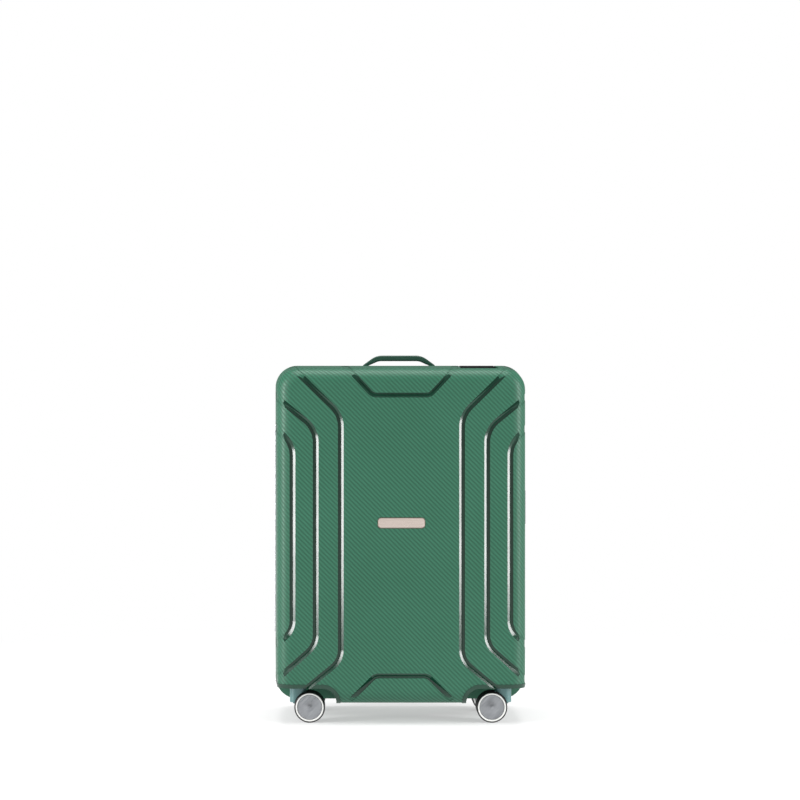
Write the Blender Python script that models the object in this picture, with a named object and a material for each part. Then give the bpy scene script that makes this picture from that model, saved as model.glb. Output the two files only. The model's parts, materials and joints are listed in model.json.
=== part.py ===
"""Hard shell suitcase on four twin-wheel casters, 66 cm size.

The origin is on the floor under the middle of the case. +Z is up, the front (the lid) faces -Y, and the
seam between the two halves is the plane y = 0. The long hinge is on the left side, the lock on the right.
"""
import math

import bmesh
import bpy
from mathutils import Matrix, Vector

# ---- the case ----------------------------------------------------------------------------------------
CASE_WIDTH = 0.456            # across the seam
SHELL_TOP = 0.644             # highest line of the seam
SHELL_BOTTOM = 0.033          # lowest line of the seam
FRONT_DEPTH = 0.135           # seam to the face of the lid
REAR_DEPTH = 0.135            # seam to the back
DRAFT = math.tan(math.radians(3.0))
CORNER_RADIUS = 0.040         # the four corners of the seam outline
LEAST_RADIUS = 0.004          # of those corners where the walls have eaten into them
FACE_FILLET = 0.025           # large rounding between the sides and the front or back
SHELL_WALL = 0.003
SEAM_GAP = 0.0005             # each half stops this far from the seam plane
CLEARANCE = 0.0003            # between parts that touch
RUNNING_GAP = 0.0004          # between parts that slide or turn
CORNER_STEPS = 6
FILLET_STEPS = 4

# ---- wheel bays --------------------------------------------------------------------------------------
BAY_SIDE_GAP = 0.0164         # between the inner side of the bay and the swivelling wheels
BAY_BACK_GAP = 0.0084         # between its back wall and the swivelling wheels
BAY_HEADROOM = 0.011          # over the wheels
BAY_RADIUS = 0.025
BAY_BACK = 0.018              # wall of the bay, from the seam plane

# ---- casters -----------------------------------------------------------------------------------------
WHEEL_RADIUS = 0.028
WHEEL_WIDTH = 0.0138
WHEEL_GAP = 0.0007            # between the wheel and the fork
WHEEL_FACE = 0.0025           # left in front of the axle's bore
TYRE_EDGE = 0.0025            # chamfer of the tread
WHEEL_SEGMENTS = 32
WHEEL_TRAIL = 0.0175          # swivel axis to axle, short enough to clear the hinge when turned round
SWIVEL_INSET = 0.0465         # from the side of the case
FORK_WEB = 0.008              # thickness between the two wheels
FORK_RADIUS = 0.0113
FORK_LOBE = 0.0072            # the stem is drawn out this far towards the side of the case
FORK_STEM_END = 0.008         # the stem ends this far over the axle
FORK_HUB = 0.005              # plastic around the axle
FORK_WEB_INSET = 0.0006       # the web is this much narrower than the stem
FORK_WEB_DROP = 0.006         # the web starts this far under the top of the stem
FORK_ELBOW = 0.018            # the web turns under this height over the axle
FORK_TIP = 0.006
WHEEL_ROOM = 0.0008           # cut into the stem around a wheel
AXLE_RADIUS = 0.003
AXLE_END_GAP = 0.0018         # between its end and the bottom of the wheel's bore
POST_RADIUS = 0.004
MOUNT_HALF = 0.028
MOUNT_THICK = 0.0035
MOUNT_ROUND = 0.008
POST_ROOT = 0.001             # how far the post goes into the mount plate
BOSS_GAP = 0.0008             # between the fork and the mount plate
POST_DEPTH = 0.0055           # how far the post goes into the fork

# ---- closing frames and seal -------------------------------------------------------------------------
RIM_DEPTH = 0.0105
RIM_WIDTH = 0.0115
SEAL_THICK = 0.003
SEAL_WIDTH = 0.004

# ---- hinge -------------------------------------------------------------------------------------------
HINGE_FROM_BOTTOM = 0.122
HINGE_FROM_TOP = 0.109
KNUCKLE_COUNT = 8
KNUCKLE_RADIUS = 0.0018
HINGE_PIN_RADIUS = 0.0009
HINGE_STAND_OFF = 0.0003      # pin axis outside the side of the case
LEAF_REACH = 0.020
LEAF_THICK = 0.0012
LEAF_BAY_DEPTH = 0.0020
LEAF_BAY_ROOM = 0.001         # round the leaves
LEAF_BAY_WALL = 0.001         # the side is thinner behind them

# ---- latches -----------------------------------------------------------------------------------------
LATCH_LENGTH = 0.061
LATCH_FRONT = 0.0245          # reach of the lever in front of the seam
LATCH_PIVOT = 0.022           # pivot behind the seam
LATCH_BARREL = 0.0016
LATCH_STUB = 0.0011
LATCH_EAR = 0.004
LATCH_EAR_REACH = 0.0045
LATCH_NECK = 0.001            # between the ears and the broad part of the lever
LATCH_PLATE = 0.001
LATCH_SUNK = 0.0003           # top of the lever under the side of the case
LATCH_BAY_DEPTH = 0.0060
TOP_BAY_FRONT = 0.115         # the top latch's bay runs out over the drafted top
LATCH_BAY_FRONT = 0.028
LATCH_BAY_REAR = 0.031
LATCH_SIDE_ROOM = 0.003
LATCH_END_ROOM = 0.002        # behind the base
TOP_LATCH_FROM_CORNER = 0.0135
BOTTOM_LATCH_FROM_BAY = 0.0085
SIDE_LATCH_Z = 0.385
SIDE_LATCH_PROUD = 0.0021     # the side latch stands out as far as the hinge on the other side

# ---- lock --------------------------------------------------------------------------------------------
LOCK_LOW = 0.262
LOCK_HIGH = 0.342
LOCK_FRONT = 0.0185
LOCK_WIDE = 0.018
LOCK_FACE = 0.0016            # under the side of the case
LOCK_DEEP = 0.0118
DIAL_RADIUS = 0.005
DIAL_THICK = 0.0034
DIAL_COUNT = 3
DIAL_START = 0.012            # first dial over the bottom of the lock
DIAL_PITCH = 0.0085
DIAL_PROUD = 0.0006
SLIDER_LENGTH = 0.010
SLIDER_WIDE = 0.008
SLIDER_THICK = 0.0018
SLIDER_INSET = 0.006
SLIDER_TRAVEL = 0.004

# ---- pulling handle ----------------------------------------------------------------------------------
TROLLEY_INSET = 0.025         # from the back of the case
TUBE_X = 0.070
TUBE_WIDE = 0.022
TUBE_DEEP = 0.014
TUBE_WALL = 0.0012
TUBE_BOTTOM = 0.050
TUBE_STEP = 0.006             # each inner tube starts this much higher
TUBE_LIP = 0.0006             # the middle tubes end this far over the floor of the cup
CUP_END_ROOM = 0.018          # for fingers at the ends of the grip
CUP_FRONT_ROOM = 0.007
CUP_BACK_ROOM = 0.006
CUP_DEPTH = 0.0285
CUP_SUNK = 0.0007             # its edge under the shell at the back
CUP_WALL = 0.002
CUP_ROUND = 0.004
GRIP_OVER_TUBE = 0.001
GRIP_DEEP = 0.025
GRIP_SEAT = 0.0065            # under the grip, down to the underside of the cup
GRIP_HIGH = 0.0255
GRIP_ROUND = 0.005
BUTTON_HALF = 0.012
BUTTON_DEEP = 0.011
BUTTON_PROUD = 0.0015
BUTTON_TRAVEL = 0.003
BUTTON_ROUND = 0.003

# ---- carry handles -----------------------------------------------------------------------------------
TOP_HANDLE_Y = 0.046
TOP_HANDLE_HALF = 0.0677      # middle of the case to the outside of a leg
TOP_HANDLE_SLOPE = 0.0297     # from its level part out to the outside of a leg
TOP_HANDLE_RISE = 0.0195      # over the shell
TOP_HANDLE_THICK = 0.0102
TOP_HANDLE_LEG = 0.0070
SHOULDER_RISE = 0.0035        # the legs are upright to this far over the shell
SHOULDER_CUT = 0.004          # chamfer above that
SHOULDER_UNDER = 0.002        # the inner corner is lower than the outer one
UNDER_INSET = 0.003           # the level part is shorter underneath
TOP_HANDLE_DEEP = 0.022
BRACKET_WALL = 0.004
BRACKET_DEPTH = 0.026
BRACKET_SUNK = 0.0015
BRACKET_BASE = 0.002
BRACKET_FLOOR = 0.004         # its bottom to the end of the leg
FINGER_BAY_GAP = 0.0084       # from the brackets
FINGER_BAY_REACH = 0.022      # each way from the middle of the handle
FINGER_BAY_DEPTH = 0.018
SIDE_HANDLE_Y = 0.073
SIDE_HANDLE_Z = 0.200         # middle of the side handle, below the lock
SIDE_CUP_HALF = 0.050
SIDE_CUP_REACH = 0.021
SIDE_CUP_DEPTH = 0.022
SIDE_CUP_WALL = 0.002
SIDE_CUP_LIP = 0.0015         # under the drafted side
SIDE_GRIP_THICK = 0.007
SIDE_GRIP_DEEP = 0.020

# ---- inside ------------------------------------------------------------------------------------------
LINING_GAP = 0.0014           # to the rims
LINING_BAY_GAP = 0.0045       # to the wheel bays
LINING_CUP_GAP = 0.004
LINING_TUBE_GAP = 0.002
LINING_FACE_GAP = 0.016       # to the face of the lid
LINING_THICK = 0.0015
LINING_EDGE = 0.0255          # rounding of the tubs
LINING_SEAM = 0.0062          # the tubs start behind the rims' faces
STRAP_WIDTH = 0.038
STRAP_THICK = 0.0015
STRAP_Z = 0.335
STRAP_END_GAP = 0.002
BUCKLE_HALF = 0.031
BUCKLE_HIGH = 0.048
BUCKLE_THICK = 0.008
BUCKLE_ROUND = 0.003
POCKET_HALF = 0.150
POCKET_LOW = 0.150
POCKET_HIGH = 0.480
POCKET_THICK = 0.0020

# ---- badge -------------------------------------------------------------------------------------------
BADGE_Z = 0.362
BADGE_LENGTH = 0.0846
BADGE_HIGH = 0.0191
BADGE_THICK = 0.0012
BADGE_BAY = 0.0016
BADGE_ROUND = 0.006

HALF = CASE_WIDTH / 2
BAY_CEILING = 2 * WHEEL_RADIUS + BAY_HEADROOM
WHEEL_INNER = FORK_WEB / 2 + WHEEL_GAP
WHEEL_OUTER = WHEEL_INNER + WHEEL_WIDTH
SWEEP = math.hypot(WHEEL_TRAIL + WHEEL_RADIUS, WHEEL_OUTER)
SWIVEL_X = HALF - SWIVEL_INSET
SWIVEL_Y = BAY_BACK + BAY_BACK_GAP + SWEEP
BAY_INNER_X = SWIVEL_X - SWEEP - BAY_SIDE_GAP
HINGE_LOW = SHELL_BOTTOM + HINGE_FROM_BOTTOM
HINGE_HIGH = SHELL_TOP - HINGE_FROM_TOP
LATCH_ROOM = LATCH_LENGTH / 2 + LATCH_SIDE_ROOM
TOP_LATCH_X = HALF - CORNER_RADIUS - TOP_LATCH_FROM_CORNER - LATCH_ROOM
BOTTOM_LATCH_X = BAY_INNER_X - BOTTOM_LATCH_FROM_BAY - LATCH_ROOM
LOCK_REAR = LOCK_FRONT + LOCK_WIDE
RIM_OFFSET = SHELL_WALL + DRAFT * (RIM_DEPTH + SEAL_THICK + SEAM_GAP) + CLEARANCE
RIM_INNER = RIM_OFFSET + RIM_WIDTH
TINY = 0.00005
FAR = 0.05                    # how far a cutter stands clear of what it cuts
BACK = Vector((0, 1, 0))      # from the front to the back of the case


def inset_at(depth, total, fillet):
    """How far the side has come in at one depth, from the draft and from the fillet at the face."""
    inset = DRAFT * depth
    past = depth - (total - fillet)
    if past > 0.0:
        inset += fillet - math.sqrt(max(fillet * fillet - past * past, 0.0))
    return inset


TROLLEY_Y = REAR_DEPTH - TROLLEY_INSET
GRIP_HALF = TUBE_X + TUBE_WIDE / 2 + GRIP_OVER_TUBE
CUP_HALF = GRIP_HALF + CUP_END_ROOM
CUP_FRONT = TROLLEY_Y - GRIP_DEEP / 2 - CUP_FRONT_ROOM
CUP_BACK = TROLLEY_Y + GRIP_DEEP / 2 + CUP_BACK_ROOM
CUP_TOP = SHELL_TOP - inset_at(CUP_BACK, REAR_DEPTH, FACE_FILLET) - CUP_SUNK
CUP_FLOOR = CUP_TOP - CUP_DEPTH
GRIP_BOTTOM = CUP_FLOOR + GRIP_SEAT
GRIP_TOP = GRIP_BOTTOM + GRIP_HIGH
TOP_HANDLE_TOP = SHELL_TOP + TOP_HANDLE_RISE
TOP_HANDLE_FLAT = TOP_HANDLE_HALF - TOP_HANDLE_SLOPE
FINGER_BAY_HALF = TOP_HANDLE_HALF - TOP_HANDLE_LEG - CLEARANCE - BRACKET_WALL - FINGER_BAY_GAP
BRACKET_BOTTOM = SHELL_TOP - BRACKET_DEPTH
BRACKET_TOP = SHELL_TOP - BRACKET_SUNK
TOP_HANDLE_LEG_END = BRACKET_BOTTOM + BRACKET_FLOOR
LINING_HALF = HALF - RIM_INNER - LINING_GAP
LINING_BOTTOM = BAY_CEILING + SHELL_WALL + LINING_BAY_GAP
FRONT_LINING_TOP = SHELL_TOP - RIM_INNER - LINING_GAP
REAR_LINING_TOP = CUP_FLOOR - LINING_CUP_GAP
REAR_LINING_DEPTH = TROLLEY_Y - TUBE_DEEP / 2 - LINING_TUBE_GAP
FRONT_LINING_DEPTH = FRONT_DEPTH - LINING_FACE_GAP


# ---- materials ---------------------------------------------------------------------------------------
def make_material(name, colour, roughness, metallic=0.0):
    material = bpy.data.materials.new(name)
    material.use_nodes = True
    shader = material.node_tree.nodes["Principled BSDF"]
    shader.inputs["Base Color"].default_value = (*colour, 1.0)
    shader.inputs["Roughness"].default_value = roughness
    shader.inputs["Metallic"].default_value = metallic
    return material


def make_materials():
    return {
        "green_shell": make_material("green_shell", (0.055, 0.190, 0.125), 0.42),
        "dark_green": make_material("dark_green", (0.012, 0.065, 0.045), 0.45),
        "fork_teal": make_material("fork_teal", (0.055, 0.150, 0.150), 0.40),
        "black_plastic": make_material("black_plastic", (0.015, 0.015, 0.017), 0.40),
        "seal_rubber": make_material("seal_rubber", (0.012, 0.012, 0.012), 0.80),
        "tyre_black": make_material("tyre_black", (0.010, 0.010, 0.010), 0.55),
        "steel": make_material("steel", (0.560, 0.570, 0.580), 0.30, 1.0),
        "aluminium": make_material("aluminium", (0.660, 0.670, 0.680), 0.35, 1.0),
        "badge_metal": make_material("badge_metal", (0.720, 0.600, 0.540), 0.35, 1.0),
        "lining_cloth": make_material("lining_cloth", (0.040, 0.042, 0.045), 0.90),
        "strap_webbing": make_material("strap_webbing", (0.015, 0.015, 0.016), 0.85),
    }


# ---- mesh helpers ------------------------------------------------------------------------------------
def link_object(name, bm, material):
    """A mesh object, its faces pointing outwards."""
    bmesh.ops.recalc_face_normals(bm, faces=bm.faces)
    mesh = bpy.data.meshes.new(name)
    bm.to_mesh(mesh)
    bm.free()
    item = bpy.data.objects.new(name, mesh)
    bpy.context.scene.collection.objects.link(item)
    if material is not None:
        mesh.materials.append(material)
    return item


def box_mesh(low, high, bevel=0.0, steps=2, edge_filter=None):
    bm = bmesh.new()
    bmesh.ops.create_cube(bm, size=1.0)
    low, high = Vector(low), Vector(high)
    for vert in bm.verts:
        vert.co = Vector([(a + b) / 2 + c * (b - a) for a, b, c in zip(low, high, vert.co)])
    if bevel > 0.0:
        edges = [e for e in bm.edges if edge_filter is None or edge_filter(e)]
        bmesh.ops.bevel(bm, geom=edges, offset=bevel, segments=steps, affect="EDGES", profile=0.5)
    return bm


def along(axis):
    """Edge filter: the edges that run along one axis."""
    def test(edge):
        run = (edge.verts[0].co - edge.verts[1].co).normalized()
        return abs(run[axis]) > 0.99
    return test


def box(name, low, high, material, **bevel):
    return link_object(name, box_mesh(low, high, **bevel), material)


def loft_mesh(loops):
    """A closed body through loops that all have the same number of points."""
    bm = bmesh.new()
    rings = [[bm.verts.new(point) for point in loop] for loop in loops]
    count = len(rings[0])
    for first, second in zip(rings, rings[1:]):
        for i in range(count):
            j = (i + 1) % count
            bm.faces.new((first[i], first[j], second[j], second[i]))
    bm.faces.new(rings[0])
    bm.faces.new(list(reversed(rings[-1])))
    return bm


def extrude_mesh(outline, axis, start, end):
    """An outline of two coordinates pulled along one axis; the other two axes keep their order."""
    others = [i for i in range(3) if i != axis]
    loops = []
    for level in (start, end):
        loop = []
        for point in outline:
            place = [0.0, 0.0, 0.0]
            place[axis] = level
            place[others[0]], place[others[1]] = point
            loop.append(place)
        loops.append(loop)
    return loft_mesh(loops)


def cylinder_mesh(centre, radius, length, axis, segments=24):
    """A cylinder from its centre, half of its length each way."""
    outline = []
    others = [i for i in range(3) if i != axis]
    for i in range(segments):
        angle = 2 * math.pi * i / segments
        first = centre[others[0]] + radius * math.cos(angle)
        outline.append((first, centre[others[1]] + radius * math.sin(angle)))
    return extrude_mesh(outline, axis, centre[axis] - length / 2, centre[axis] + length / 2)


def cylinder(name, centre, radius, length, axis, material, segments=24):
    item = link_object(name, cylinder_mesh(centre, radius, length, axis, segments), material)
    smooth(item)
    return item


def smooth(item, angle=40.0):
    item.data.shade_smooth()
    item.data.set_sharp_from_angle(angle=math.radians(angle))


def set_origin(item, origin):
    """Moves the origin of an object and leaves its shape where it is."""
    item.data.transform(Matrix.Translation(-Vector(origin)))
    item.location = origin
    return item


def empty(name, location, turn=0.0):
    item = bpy.data.objects.new(name, None)
    item.location = location
    item.rotation_euler = (0.0, 0.0, turn)
    bpy.context.scene.collection.objects.link(item)
    return item


def as_cutter(item):
    item.hide_render = True
    item.display_type = "WIRE"
    return item


def boolean(target, tool, operation="DIFFERENCE"):
    modifier = target.modifiers.new(tool.name, "BOOLEAN")
    modifier.object = as_cutter(tool)
    modifier.operation = operation
    modifier.solver = "EXACT"


def cut_box(target, name, low, high, **bevel):
    boolean(target, box("cut_" + name, low, high, None, **bevel))


def cut_cylinder(target, name, centre, radius, length, axis, segments=24):
    boolean(target, link_object("cut_" + name, cylinder_mesh(centre, radius, length, axis, segments), None))


# ---- the two shells ----------------------------------------------------------------------------------
def outline_loop(y, inset, radius):
    """The rounded outline of the case at one depth, inset from the seam's outline."""
    loop = []
    low, high = SHELL_BOTTOM + inset, SHELL_TOP - inset
    half = HALF - inset
    corners = (((half - radius), (high - radius), 0.0), (-(half - radius), (high - radius), 90.0),
               (-(half - radius), (low + radius), 180.0), ((half - radius), (low + radius), 270.0))
    for centre_x, centre_z, first in corners:
        for step in range(CORNER_STEPS + 1):
            angle = math.radians(first + 90.0 * step / CORNER_STEPS)
            loop.append((centre_x + radius * math.cos(angle), y, centre_z + radius * math.sin(angle)))
    return loop


def shell_body(side, depth_total, offset, start):
    """One half as a solid, offset inwards, from the seam to its face. side is -1 for the front."""
    total = depth_total - offset
    fillet = FACE_FILLET - offset
    depths = [start, total - fillet]
    depths += [total - fillet + fillet * math.sin(math.radians(90.0 * i / FILLET_STEPS))
               for i in range(1, FILLET_STEPS + 1)]
    loops = []
    for depth in depths:
        inset = offset + inset_at(depth, total, fillet)
        loops.append(outline_loop(side * depth, inset, max(CORNER_RADIUS - inset, LEAST_RADIUS)))
    return loft_mesh(loops)


def arch_outline(direction, grow):
    """Wheel arch seen from the front: ceiling, rounded inner corner, and open below and outside."""
    inner = BAY_INNER_X - grow
    ceiling = BAY_CEILING + grow
    radius = BAY_RADIUS + grow
    points = [(HALF + FAR, ceiling)]
    for step in range(CORNER_STEPS + 1):
        angle = math.radians(90.0 + 90.0 * step / CORNER_STEPS)
        points.append((inner + radius * (1.0 + math.cos(angle)), ceiling - radius * (1.0 - math.sin(angle))))
    points += [(inner, -FAR), (HALF + FAR, -FAR)]
    return [(direction * x, z) for x, z in points]


def arch_cutter(name, direction, side, grow):
    levels = sorted((side * (BAY_BACK - grow), side * (FRONT_DEPTH + REAR_DEPTH)))
    return link_object(name, extrude_mesh(arch_outline(direction, grow), 1, *levels), None)


def latch_places():
    """Of each latch: name, place on the outline, direction along the lever, direction outwards, how far
    the lever stands proud, and how far its bay reaches in front of the seam."""
    right, up = Vector((1, 0, 0)), Vector((0, 0, 1))
    return (("top", Vector((TOP_LATCH_X, 0, SHELL_TOP)), right, up, 0.0, TOP_BAY_FRONT),
            ("side", Vector((HALF, 0, SIDE_LATCH_Z)), -up, right, SIDE_LATCH_PROUD, LATCH_BAY_FRONT),
            ("bottom", Vector((BOTTOM_LATCH_X, 0, SHELL_BOTTOM)), -right, -up, 0.0, LATCH_BAY_FRONT))


def latch_bay_box(place, grow):
    """Corners in world axes of one latch bay, grown by a wall thickness."""
    name, point, run, out, proud, bay_front = place
    half = LATCH_ROOM + grow
    ends = (point - run * half - BACK * (bay_front + grow) - out * (LATCH_BAY_DEPTH + grow),
            point + run * half + BACK * (LATCH_BAY_REAR + grow) + out * FAR)
    low = [min(a, b) for a, b in zip(*ends)]
    high = [max(a, b) for a, b in zip(*ends)]
    return low, high


def hinge_bay_box(grow):
    reach = LEAF_REACH + LEAF_BAY_ROOM + grow
    return ((-HALF - FAR, -reach, HINGE_LOW - LEAF_BAY_ROOM - grow),
            (-HALF + LEAF_BAY_DEPTH + grow, reach, HINGE_HIGH + LEAF_BAY_ROOM + grow))


def finger_bay_box(grow):
    half = FINGER_BAY_HALF + grow
    reach = FINGER_BAY_REACH + grow
    return ((-half, TOP_HANDLE_Y - reach, SHELL_TOP - FINGER_BAY_DEPTH - grow),
            (half, TOP_HANDLE_Y + reach, SHELL_TOP + FAR))


def side_cup_outline(grow):
    """Low and high corners of the side handle's cup, as the hole in the shell when grown by a gap."""
    face = HALF - DRAFT * (SIDE_HANDLE_Y + SIDE_CUP_REACH) - SIDE_CUP_LIP
    low = (face - SIDE_CUP_DEPTH - grow, SIDE_HANDLE_Y - SIDE_CUP_REACH - grow,
           SIDE_HANDLE_Z - SIDE_CUP_HALF - grow)
    high = (face, SIDE_HANDLE_Y + SIDE_CUP_REACH + grow, SIDE_HANDLE_Z + SIDE_CUP_HALF + grow)
    return low, high


def bracket_box(direction, grow):
    """Corners of one bracket of the top handle."""
    outer = TOP_HANDLE_HALF + CLEARANCE + BRACKET_WALL + grow
    inner = TOP_HANDLE_HALF - TOP_HANDLE_LEG - CLEARANCE - BRACKET_WALL - grow
    reach = TOP_HANDLE_DEEP / 2 + CLEARANCE + BRACKET_WALL + grow
    ends = sorted((direction * inner, direction * outer))
    return ((ends[0], TOP_HANDLE_Y - reach, BRACKET_BOTTOM - grow),
            (ends[1], TOP_HANDLE_Y + reach, BRACKET_TOP + (FAR if grow else 0.0)))


def make_shell(name, side, depth_total, material):
    """A moulded half: the outside, less its bays, less the inside that follows both."""
    shell = link_object(name, shell_body(side, depth_total, 0.0, SEAM_GAP), material)
    hollow = link_object("cut_" + name, shell_body(side, depth_total, SHELL_WALL, -FAR), None)
    bays = []
    for place in latch_places():
        bays.append((place[0], latch_bay_box(place, 0.0), latch_bay_box(place, SHELL_WALL)))
    bays.append(("hinge", hinge_bay_box(0.0), hinge_bay_box(LEAF_BAY_WALL)))
    if side > 0:
        bays.append(("finger", finger_bay_box(0.0), finger_bay_box(SHELL_WALL)))
    for direction in (-1, 1):
        tag = f"{name}_{'left' if direction < 0 else 'right'}"
        boolean(shell, arch_cutter("cut_arch_" + tag, direction, side, 0.0))
        boolean(hollow, arch_cutter("cut_arch_wall_" + tag, direction, side, SHELL_WALL))
    for label, outer, inner in bays:
        cut_box(shell, f"{label}_bay_{name}", *outer)
        cut_box(hollow, f"{label}_wall_{name}", *inner)
    boolean(shell, hollow)
    return shell


def make_shells(materials):
    front = make_shell("front_shell", -1, FRONT_DEPTH, materials["green_shell"])
    rear = make_shell("rear_shell", 1, REAR_DEPTH, materials["green_shell"])
    half, high = BADGE_LENGTH / 2 + CLEARANCE, BADGE_HIGH / 2 + CLEARANCE
    cut_box(front, "badge_bay", (-half, -FRONT_DEPTH - FAR, BADGE_Z - high),
            (half, -FRONT_DEPTH + BADGE_BAY, BADGE_Z + high))
    cut_box(rear, "cup_hole", (-CUP_HALF - CLEARANCE, CUP_FRONT - CLEARANCE, CUP_FLOOR),
            (CUP_HALF + CLEARANCE, CUP_BACK + CLEARANCE, SHELL_TOP + FAR))
    for direction in (-1, 1):
        low, high = bracket_box(direction, CLEARANCE)
        cut_box(rear, f"bracket_hole_{direction}", low, high)
    low, high = side_cup_outline(CLEARANCE)
    cut_box(rear, "side_cup_hole", low, (high[0] + FAR, high[1], high[2]))
    cut_box(rear, "lock_hole", (HALF - LOCK_DEEP - FAR / 10, LOCK_FRONT - CLEARANCE, LOCK_LOW - CLEARANCE),
            (HALF + FAR, LOCK_REAR + CLEARANCE, LOCK_HIGH + CLEARANCE))
    return front, rear


# ---- closing frames ----------------------------------------------------------------------------------
def ring_mesh(y_low, y_high, offset, width):
    """A closed band that follows the seam's outline, offset inwards."""
    bm = bmesh.new()
    rings = []
    for y, inset in ((y_low, offset), (y_high, offset), (y_high, offset + width), (y_low, offset + width)):
        radius = max(CORNER_RADIUS - inset, LEAST_RADIUS)
        rings.append([bm.verts.new(p) for p in outline_loop(y, inset, radius)])
    count = len(rings[0])
    for first, second in zip(rings, rings[1:] + rings[:1]):
        for i in range(count):
            j = (i + 1) % count
            bm.faces.new((first[i], first[j], second[j], second[i]))
    return bm


def make_rims(materials):
    """The frames sit inside the shells; the soft seal is set in the face of the front frame."""
    front_face = SEAM_GAP + SEAL_THICK - CLEARANCE
    front = link_object("front_rim", ring_mesh(-front_face - RIM_DEPTH, -front_face, RIM_OFFSET, RIM_WIDTH),
                        materials["dark_green"])
    rear = link_object("rear_rim", ring_mesh(SEAM_GAP, SEAM_GAP + RIM_DEPTH, RIM_OFFSET, RIM_WIDTH),
                       materials["dark_green"])
    for rim in (front, rear):
        for place in latch_places():
            low, high = latch_bay_box(place, SHELL_WALL + CLEARANCE)
            cut_box(rim, f"{place[0]}_bay_{rim.name}", low, high)
        low, high = hinge_bay_box(LEAF_BAY_WALL + CLEARANCE)
        cut_box(rim, f"hinge_bay_{rim.name}", low, high)
    seal_offset = RIM_INNER - SEAL_WIDTH - CLEARANCE
    link_object("seal_strip", ring_mesh(-front_face + CLEARANCE, -CLEARANCE, seal_offset, SEAL_WIDTH),
                materials["seal_rubber"])


# ---- hinge -------------------------------------------------------------------------------------------
def make_hinge(materials):
    """Two leaves with alternate knuckles on one steel pin, let into the left side."""
    axis_x = -HALF - HINGE_STAND_OFF
    pitch = (HINGE_HIGH - HINGE_LOW) / KNUCKLE_COUNT
    leaf_out = -HALF + LEAF_BAY_DEPTH - CLEARANCE - LEAF_THICK
    for name, side in (("hinge_rear_leaf", 1), ("hinge_front_leaf", -1)):
        near = KNUCKLE_RADIUS + RUNNING_GAP
        ends = sorted((side * near, side * LEAF_REACH))
        leaf = box(name, (leaf_out, ends[0], HINGE_LOW), (leaf_out + LEAF_THICK, ends[1], HINGE_HIGH),
                   materials["steel"])
        set_origin(leaf, (axis_x, 0.0, HINGE_LOW))
        for i in range(KNUCKLE_COUNT):
            if (i % 2 == 0) == (side > 0):
                low = HINGE_LOW + i * pitch + RUNNING_GAP / 2
                high = HINGE_LOW + (i + 1) * pitch - RUNNING_GAP / 2
                ends = sorted((0.0, side * LEAF_REACH / 2))
                arm = box(f"arm_{name}_{i}", (leaf_out, ends[0], low),
                          (leaf_out + LEAF_THICK, ends[1], high), None)
                boolean(leaf, arm, "UNION")
                knuckle = cylinder_mesh((axis_x, 0.0, (low + high) / 2), KNUCKLE_RADIUS, high - low, 2, 16)
                boolean(leaf, link_object(f"knuckle_{name}_{i}", knuckle, None), "UNION")
        cut_cylinder(leaf, f"pin_{name}", (axis_x, 0.0, (HINGE_LOW + HINGE_HIGH) / 2),
                     HINGE_PIN_RADIUS + CLEARANCE, HINGE_HIGH - HINGE_LOW + FAR, 2, 12)
    pin = cylinder("hinge_pin", (axis_x, 0.0, (HINGE_LOW + HINGE_HIGH) / 2), HINGE_PIN_RADIUS,
                   HINGE_HIGH - HINGE_LOW, 2, materials["steel"], 12)
    set_origin(pin, (axis_x, 0.0, HINGE_LOW))


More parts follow.
